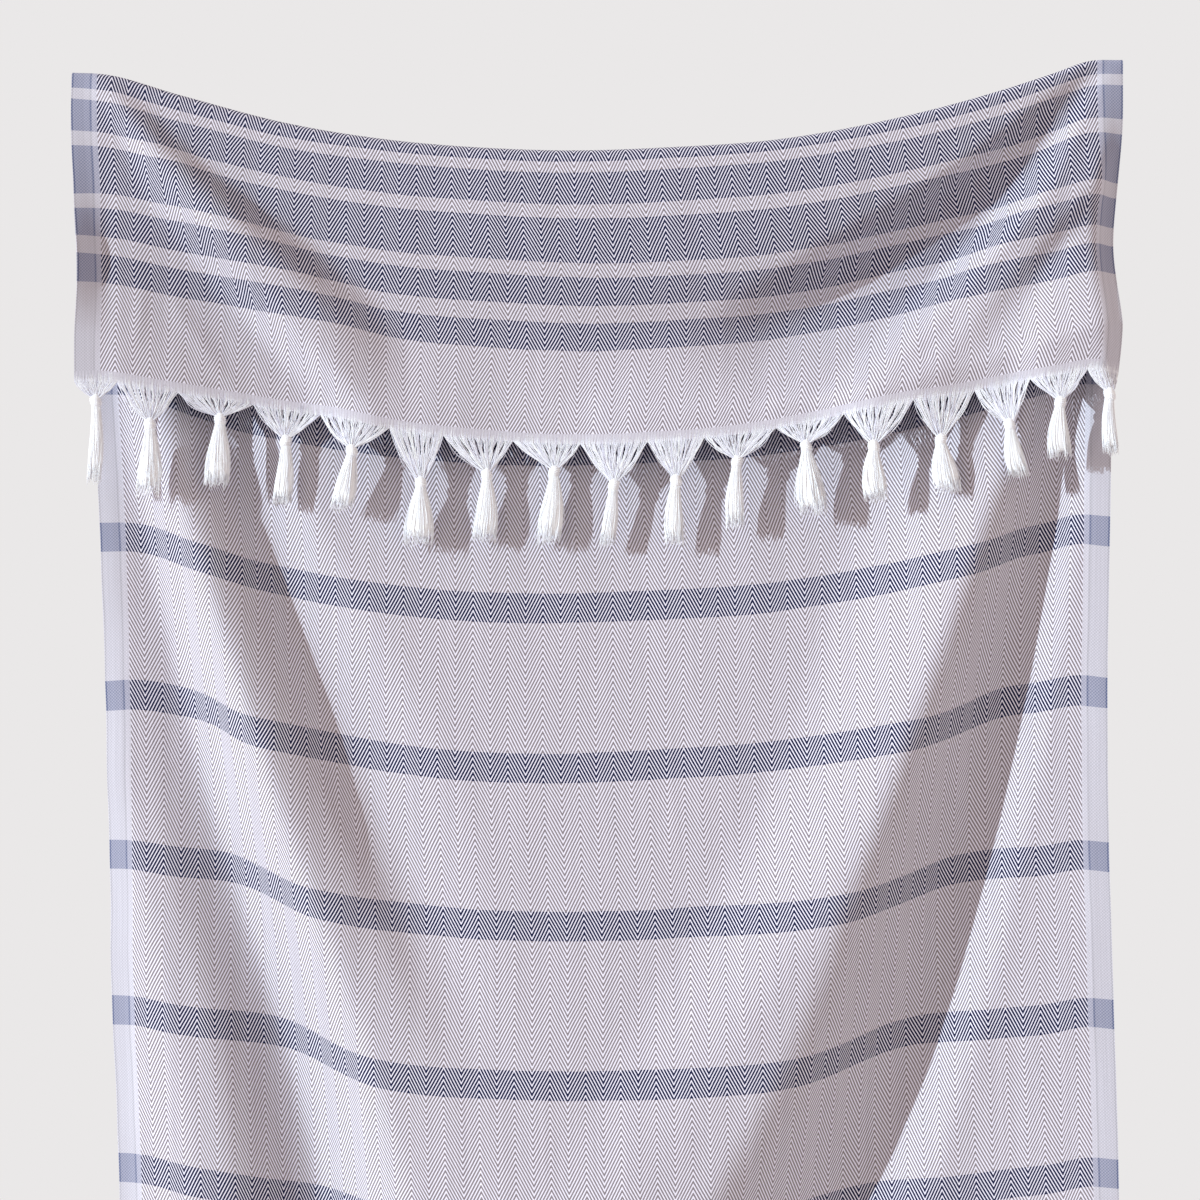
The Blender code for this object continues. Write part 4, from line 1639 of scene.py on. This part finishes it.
    def weft_on_face(self, plan: WeavePlan, line: Node) -> Node:
        """Find the share of weft that shows: the twill's lines, the plain-woven selvedges and the hems.

        Args:
            plan: places on the cloth.
            line: how far a point lies from the middle of a slanting warp line.

        Returns:
            The share of weft, from 0 to 1.
        """
        tree, end, sheet = plan.tree, self.repeat / self.ends, plan.sheet
        cover = self.by_band(plan, lambda weft: (weft.cover,) * 3 + (1.0,))
        reach = add_node(tree, "Math", {0: line, 1: cover}, operation="ADD")
        limits = {"Value": reach, "From Min": 1 - self.softness, "From Max": 1 + self.softness}
        twill = add_node(tree, "MapRange", limits, interpolation_type="SMOOTHSTEP")
        columns = add_node(tree, "Math", {0: plan.across, 1: math.pi / (2 * end)}, operation="MULTIPLY")
        rows = add_node(tree, "Math", {0: plan.along, 1: math.pi / self.pick}, operation="MULTIPLY")
        column_wave = add_node(tree, "Math", {0: columns}, operation="SINE")
        row_wave = add_node(tree, "Math", {0: rows}, operation="SINE")
        check = add_node(tree, "Math", {0: column_wave, 1: row_wave}, operation="MULTIPLY")
        strip = add_node(tree, "MapRange", {"Value": plan.from_side, "From Max": sheet.selvedge})
        profile = add_node(tree, "ValToRGB", {"Fac": strip})
        self.set_stops(profile, [(place, (value,) * 3 + (1.0,)) for place, value in SELVEDGE_STOPS])
        edge_cover = self.by_band(plan, lambda weft: (weft.edge_cover,) * 3 + (1.0,))
        even = add_node(tree, "Math", {0: profile, 1: edge_cover}, operation="MULTIPLY")
        plain = add_node(tree, "Math", {0: check, 1: self.check, 2: even}, operation="MULTIPLY_ADD")
        woven = add_node(tree, "Mix", {0: plan.on_body, 2: plain, 3: twill})
        from_hem = add_node(tree, "Math", {0: plan.along, 1: sheet.length / 2}, operation="PINGPONG")
        off_hem = add_node(tree, "Math", {0: from_hem, 1: sheet.hem_width}, operation="GREATER_THAN")
        threads = {0: column_wave, 1: self.hem_check, 2: self.hem_cover}
        hem = add_node(tree, "Math", threads, operation="MULTIPLY_ADD")
        return add_node(tree, "Mix", {0: off_hem, 2: hem, 3: woven}, clamp_factor=True)

    def set_stops(self, ramp: Node, stops: list[tuple[float, Colour]]) -> None:
        """Give a ramp its stops.

        Args:
            ramp: the ramp's node.
            stops: the stops' places and colours.
        """
        elements = ramp.color_ramp.elements
        while len(elements) < len(stops):
            elements.new(1.0)
        for element, (place, colour) in zip(elements, stops):
            element.position = place
            element.color = colour

    def by_band(self, plan: WeavePlan, read: Callable[[Weft], Colour]) -> Node:
        """Make a ramp that changes with the weft from band to band.

        Args:
            plan: places on the cloth.
            read: what gives a weft's colour, or a grey that stands for a number.

        Returns:
            The ramp's node.
        """
        half = plan.sheet.length / 2
        from_hem = add_node(plan.tree, "Math", {0: plan.along, 1: half}, operation="PINGPONG")
        place = add_node(plan.tree, "Math", {0: from_hem, 1: half}, operation="DIVIDE")
        ramp = add_node(plan.tree, "ValToRGB", {"Fac": place})
        ramp.color_ramp.interpolation = "CONSTANT"
        stops, start = [], 0.0
        for band in BANDS:
            stops.append((start / half, read(band.weft)))
            start += band.length
        self.set_stops(ramp, stops)
        return ramp

    def colour(self, plan: WeavePlan, share: Node) -> Socket:
        """Colour the warp and the weft, each thread a little lighter or darker than the next.

        Args:
            plan: places on the cloth.
            share: the share of weft that shows.

        Returns:
            The cloth's colour.
        """
        tree, end = plan.tree, self.repeat / self.ends
        body = self.by_band(plan, lambda weft: linear(weft.colour))
        edge = self.by_band(plan, lambda weft: linear(weft.edge_colour))
        weft = add_node(tree, "Mix", {0: plan.on_body, 6: edge, 7: body}, data_type="RGBA").outputs[2]
        woven = add_node(tree, "Mix", {0: share, 6: linear(self.warp), 7: weft}, data_type="RGBA")
        spot = add_node(tree, "CombineXYZ", {0: plan.across, 1: plan.along})
        scale = (1 / (self.streak_ends * end), self.streak_scale, 0.0)
        streaks = add_node(tree, "VectorMath", {0: spot, 1: scale}, operation="MULTIPLY")
        grain = add_node(tree, "TexNoise", {"Vector": streaks, "Scale": 1.0, "Detail": 3.0})
        darkest, lightest = self.streak_shades
        strength = add_node(tree, "MapRange", {"Value": grain, "To Min": darkest, "To Max": lightest})
        shaded = {0: 1.0, 6: woven.outputs[2], 7: strength}
        return add_node(tree, "Mix", shaded, data_type="RGBA", blend_type="MULTIPLY").outputs[2]

    def bump(self, plan: WeavePlan, line: Node) -> Node:
        """Round the slanting lines, with the single warp threads faintly felt in them.

        Args:
            plan: places on the cloth.
            line: how far a point lies from the middle of a slanting warp line.

        Returns:
            The bump's node.
        """
        tree, end = plan.tree, self.repeat / self.ends
        angle = add_node(tree, "Math", {0: plan.across, 1: math.pi / end}, operation="MULTIPLY")
        wave = add_node(tree, "Math", {0: angle}, operation="SINE")
        thread = add_node(tree, "Math", {0: wave}, operation="ABSOLUTE")
        centred = add_node(tree, "Math", {0: line, 1: 0.5}, operation="SUBTRACT")
        ridge = add_node(tree, "Math", {0: centred}, operation="ABSOLUTE")
        felt = {0: thread, 1: self.thread_relief, 2: ridge}
        height = add_node(tree, "Math", felt, operation="MULTIPLY_ADD")
        depth = self.relief * MM
        looks = {"Height": height, "Strength": self.relief_strength, "Distance": depth}
        return add_node(tree, "Bump", looks)


@dataclass(frozen=True)
class CottonYarn:
    """Soft-spun white cotton yarn, as it leaves the loom: matt, with a faint twist and a bloom of fibres.

    Attributes:
        light: the colour of the lighter strands as sRGB hex.
        dark: the colour of the darker ones. Its lavender is partly painted shade, the shade that close
            strands throw on each other.
        twist: turns of the ply along a strand.
        relief: the height of the ply over its grooves, in mm.
        relief_strength: how much of the relief shows.
        roughness: its roughness.
        specular: its specular level, low for loose fibres.
        sheen: how strong the bloom of fibres is.
        sheen_roughness: how wide it spreads.
    """

    light: str = "F9FCFF"
    dark: str = "DFDFEE"
    twist: float = 26.0
    relief: float = 0.18
    relief_strength: float = 0.4
    roughness: float = 0.9
    specular: float = 0.2
    sheen: float = 0.25
    sheen_roughness: float = 0.5

    def make(self) -> bpy.types.Material:
        """Make the material for strands that carry a shade and a map along them.

        Returns:
            The material.
        """
        material = bare_material("white cotton yarn")
        tree = material.node_tree
        # Each strand's tone lies between the light and the dark colour; the darker tones are partly painted
        # shade.
        shade = add_node(tree, "Attribute", attribute_name="shade").outputs["Fac"]
        shades = {0: shade, 6: linear(self.dark), 7: linear(self.light)}
        colour = add_node(tree, "Mix", shades, data_type="RGBA").outputs[2]
        spot = add_node(tree, "SeparateXYZ", {0: add_node(tree, "UVMap", uv_map=UV_MAP)})
        whole = self.twist * 2 * math.pi
        turns = add_node(tree, "Math", {0: spot.outputs["Y"], 1: whole}, operation="MULTIPLY")
        wave = add_node(tree, "Math", {0: turns}, operation="SINE")
        depth = self.relief * MM
        bump = add_node(tree, "Bump", {"Height": wave, "Strength": self.relief_strength, "Distance": depth})
        shader = add_node(tree, "BsdfPrincipled", {
            "Base Color": colour, "Normal": bump, "Roughness": self.roughness,
            "Specular IOR Level": self.specular, "Sheen Weight": self.sheen,
            "Sheen Roughness": self.sheen_roughness,
        })
        add_node(tree, "OutputMaterial", {"Surface": shader})
        return material


@dataclass(frozen=True)
class FloorPaint:
    """Pale matt emulsion paint, rolled: an even tone that throws soft light up at the cloth.

    Attributes:
        colour: its colour as sRGB hex.
        roughness: its roughness.
    """

    colour: str
    roughness: float = 0.8

    def make(self) -> bpy.types.Material:
        """Make the material.

        Returns:
            The material.
        """
        material = bare_material("pale matt floor paint")
        looks = {"Base Color": linear(self.colour), "Roughness": self.roughness}
        shader = add_node(material.node_tree, "BsdfPrincipled", looks)
        add_node(material.node_tree, "OutputMaterial", {"Surface": shader})
        return material


# Pieces and stage

def add_piece(name: str, mesh: bpy.types.Mesh, material: bpy.types.Material, node: str) -> bpy.types.Object:
    """Put a mesh in the scene in place of a node.

    Args:
        name: the piece's name.
        mesh: its mesh, in world coordinates.
        material: its finish.
        node: the node that it stands for.

    Returns:
        The new piece.
    """
    mesh.materials.append(material)
    piece = bpy.data.objects.new(name, mesh)
    bpy.context.scene.collection.objects.link(piece)
    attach(piece, BODY)
    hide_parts(node)
    log.info("%s: %d points, %d faces", name, len(mesh.vertices), len(mesh.polygons))
    return piece


@dataclass(frozen=True)
class PhotoCamera:
    """A camera square to the towel, level with the middle of the picture.

    Attributes:
        place: where it stands, in metres.
        seen_width: the width that it sees at the towel, in metres.
        sensor: the sensor's width, in mm.
    """

    place: tuple[float, float, float] = (0.002, -3.0, -0.422)
    seen_width: float = 1.128
    sensor: float = 36.0

    def build(self) -> None:
        """Make it the scene's camera."""
        data = bpy.data.cameras.new("camera")
        data.sensor_width = self.sensor
        data.lens = self.sensor * -self.place[1] / self.seen_width
        camera = bpy.data.objects.new("camera", data)
        camera.location = self.place
        camera.rotation_euler = (math.pi / 2, 0, 0)
        bpy.context.scene.collection.objects.link(camera)
        bpy.context.scene.camera = camera


@dataclass(frozen=True)
class Studio:
    """A plain pale studio: one low lamp from the left, soft light all round, and a floor below.

    Attributes:
        to_lamp: the direction from the towel to the lamp.
        lamp_strength: the lamp's strength.
        lamp_spread: how wide the lamp looks from the towel, in degrees.
        lamp_colour: the lamp's colour as sRGB hex.
        fill_sides: the colour of the soft light as it comes from both sides.
        fill_middle: its colour, and with it its strength, as it comes from the front.
        fill_strength: its strength at the sides.
        fill_lean: how much stronger it grows to the left, as a share.
        fill_lift: how much stronger it grows upwards, as a share.
        backdrop: the colour that shows behind the towel.
        floor_drop: how far the floor lies below the towel's lowest point, in metres.
        floor_radius: the floor's radius, in metres.
        floor_sides: the number of its sides.
    """

    to_lamp: tuple[float, float, float] = (-0.84, -0.486, 0.24)
    lamp_strength: float = 3.25
    lamp_spread: float = 0.6
    lamp_colour: str = "E8F8FF"
    fill_sides: str = "FFEFE8"
    fill_middle: str = "89807C"
    fill_strength: float = 1.14
    fill_lean: float = 0.12
    fill_lift: float = 0.3
    backdrop: str = "EAE8E8"
    floor_drop: float = 0.12
    floor_radius: float = 2.9
    floor_sides: int = 96

    def build(self) -> None:
        """Make the lamp, the soft light and the floor."""
        lamp = bpy.data.objects.new("lamp", bpy.data.lights.new("lamp", "SUN"))
        lamp.rotation_euler = Vector(self.to_lamp).to_track_quat("Z", "Y").to_euler()
        lamp.data.energy = self.lamp_strength
        lamp.data.angle = math.radians(self.lamp_spread)
        lamp.data.color = linear(self.lamp_colour)[:3]
        bpy.context.scene.collection.objects.link(lamp)
        self.soft_light()
        self.floor()
        bpy.context.scene.view_settings.view_transform = "Standard"

    def soft_light(self) -> None:
        """Soft light, stronger from both sides, behind which a pale backdrop shows."""
        world = bpy.data.worlds.new("studio")
        bpy.context.scene.world = world
        world.use_nodes = True
        tree = world.node_tree
        tree.nodes.clear()
        side = add_node(tree, "SeparateXYZ", {0: add_node(tree, "TexCoord").outputs["Generated"]})
        aside = add_node(tree, "Math", {0: side.outputs["X"]}, operation="ABSOLUTE")
        tints = {0: aside, 6: linear(self.fill_middle), 7: linear(self.fill_sides)}
        tint = add_node(tree, "Mix", tints, data_type="RGBA").outputs[2]
        lean = {0: side.outputs["X"], 1: -self.fill_lean * self.fill_strength, 2: self.fill_strength}
        leaning = add_node(tree, "Math", lean, operation="MULTIPLY_ADD")
        lift = {0: side.outputs["Z"], 1: self.fill_lift * self.fill_strength, 2: leaning}
        lifted = add_node(tree, "Math", lift, operation="MULTIPLY_ADD")
        fill = add_node(tree, "Background", {"Color": tint, "Strength": lifted})
        behind = add_node(tree, "Background", {"Color": linear(self.backdrop), "Strength": 1.0})
        seen = add_node(tree, "LightPath")
        both = add_node(tree, "MixShader", {0: seen.outputs["Is Camera Ray"], 1: fill, 2: behind})
        add_node(tree, "OutputWorld", {"Surface": both})

    def floor(self) -> None:
        """A round pale floor."""
        level = CAD_BOX[0].z - self.floor_drop
        angles = [side * 2 * math.pi / self.floor_sides for side in range(self.floor_sides)]
        ring = [(self.floor_radius * math.cos(a), self.floor_radius * math.sin(a), level) for a in angles]
        mesh = bpy.data.meshes.new("floor")
        mesh.from_pydata(ring, [], [tuple(range(self.floor_sides))])
        mesh.materials.append(FloorPaint(self.backdrop).make())
        floor = bpy.data.objects.new("floor", mesh)
        bpy.context.scene.collection.objects.link(floor)


def main() -> None:
    """Build the camera, the studio, the cloth and its two fringes."""
    logging.basicConfig(level=logging.INFO, format="%(message)s")
    PhotoCamera().build()
    Studio().build()
    sheet = Sheet()
    cloth = sheet.build(HerringboneCotton())
    yarn = CottonYarn().make()
    front = Fringe("front_tassel", sheet.hem(0), TASSEL_CUTS, seed=100, behind=sheet.hanging).build(yarn)
    back = Fringe("back_tassel", sheet.hem(-1), TASSEL_CUTS[::-1], seed=200).build(yarn)


if __name__ == "__main__":
    main()
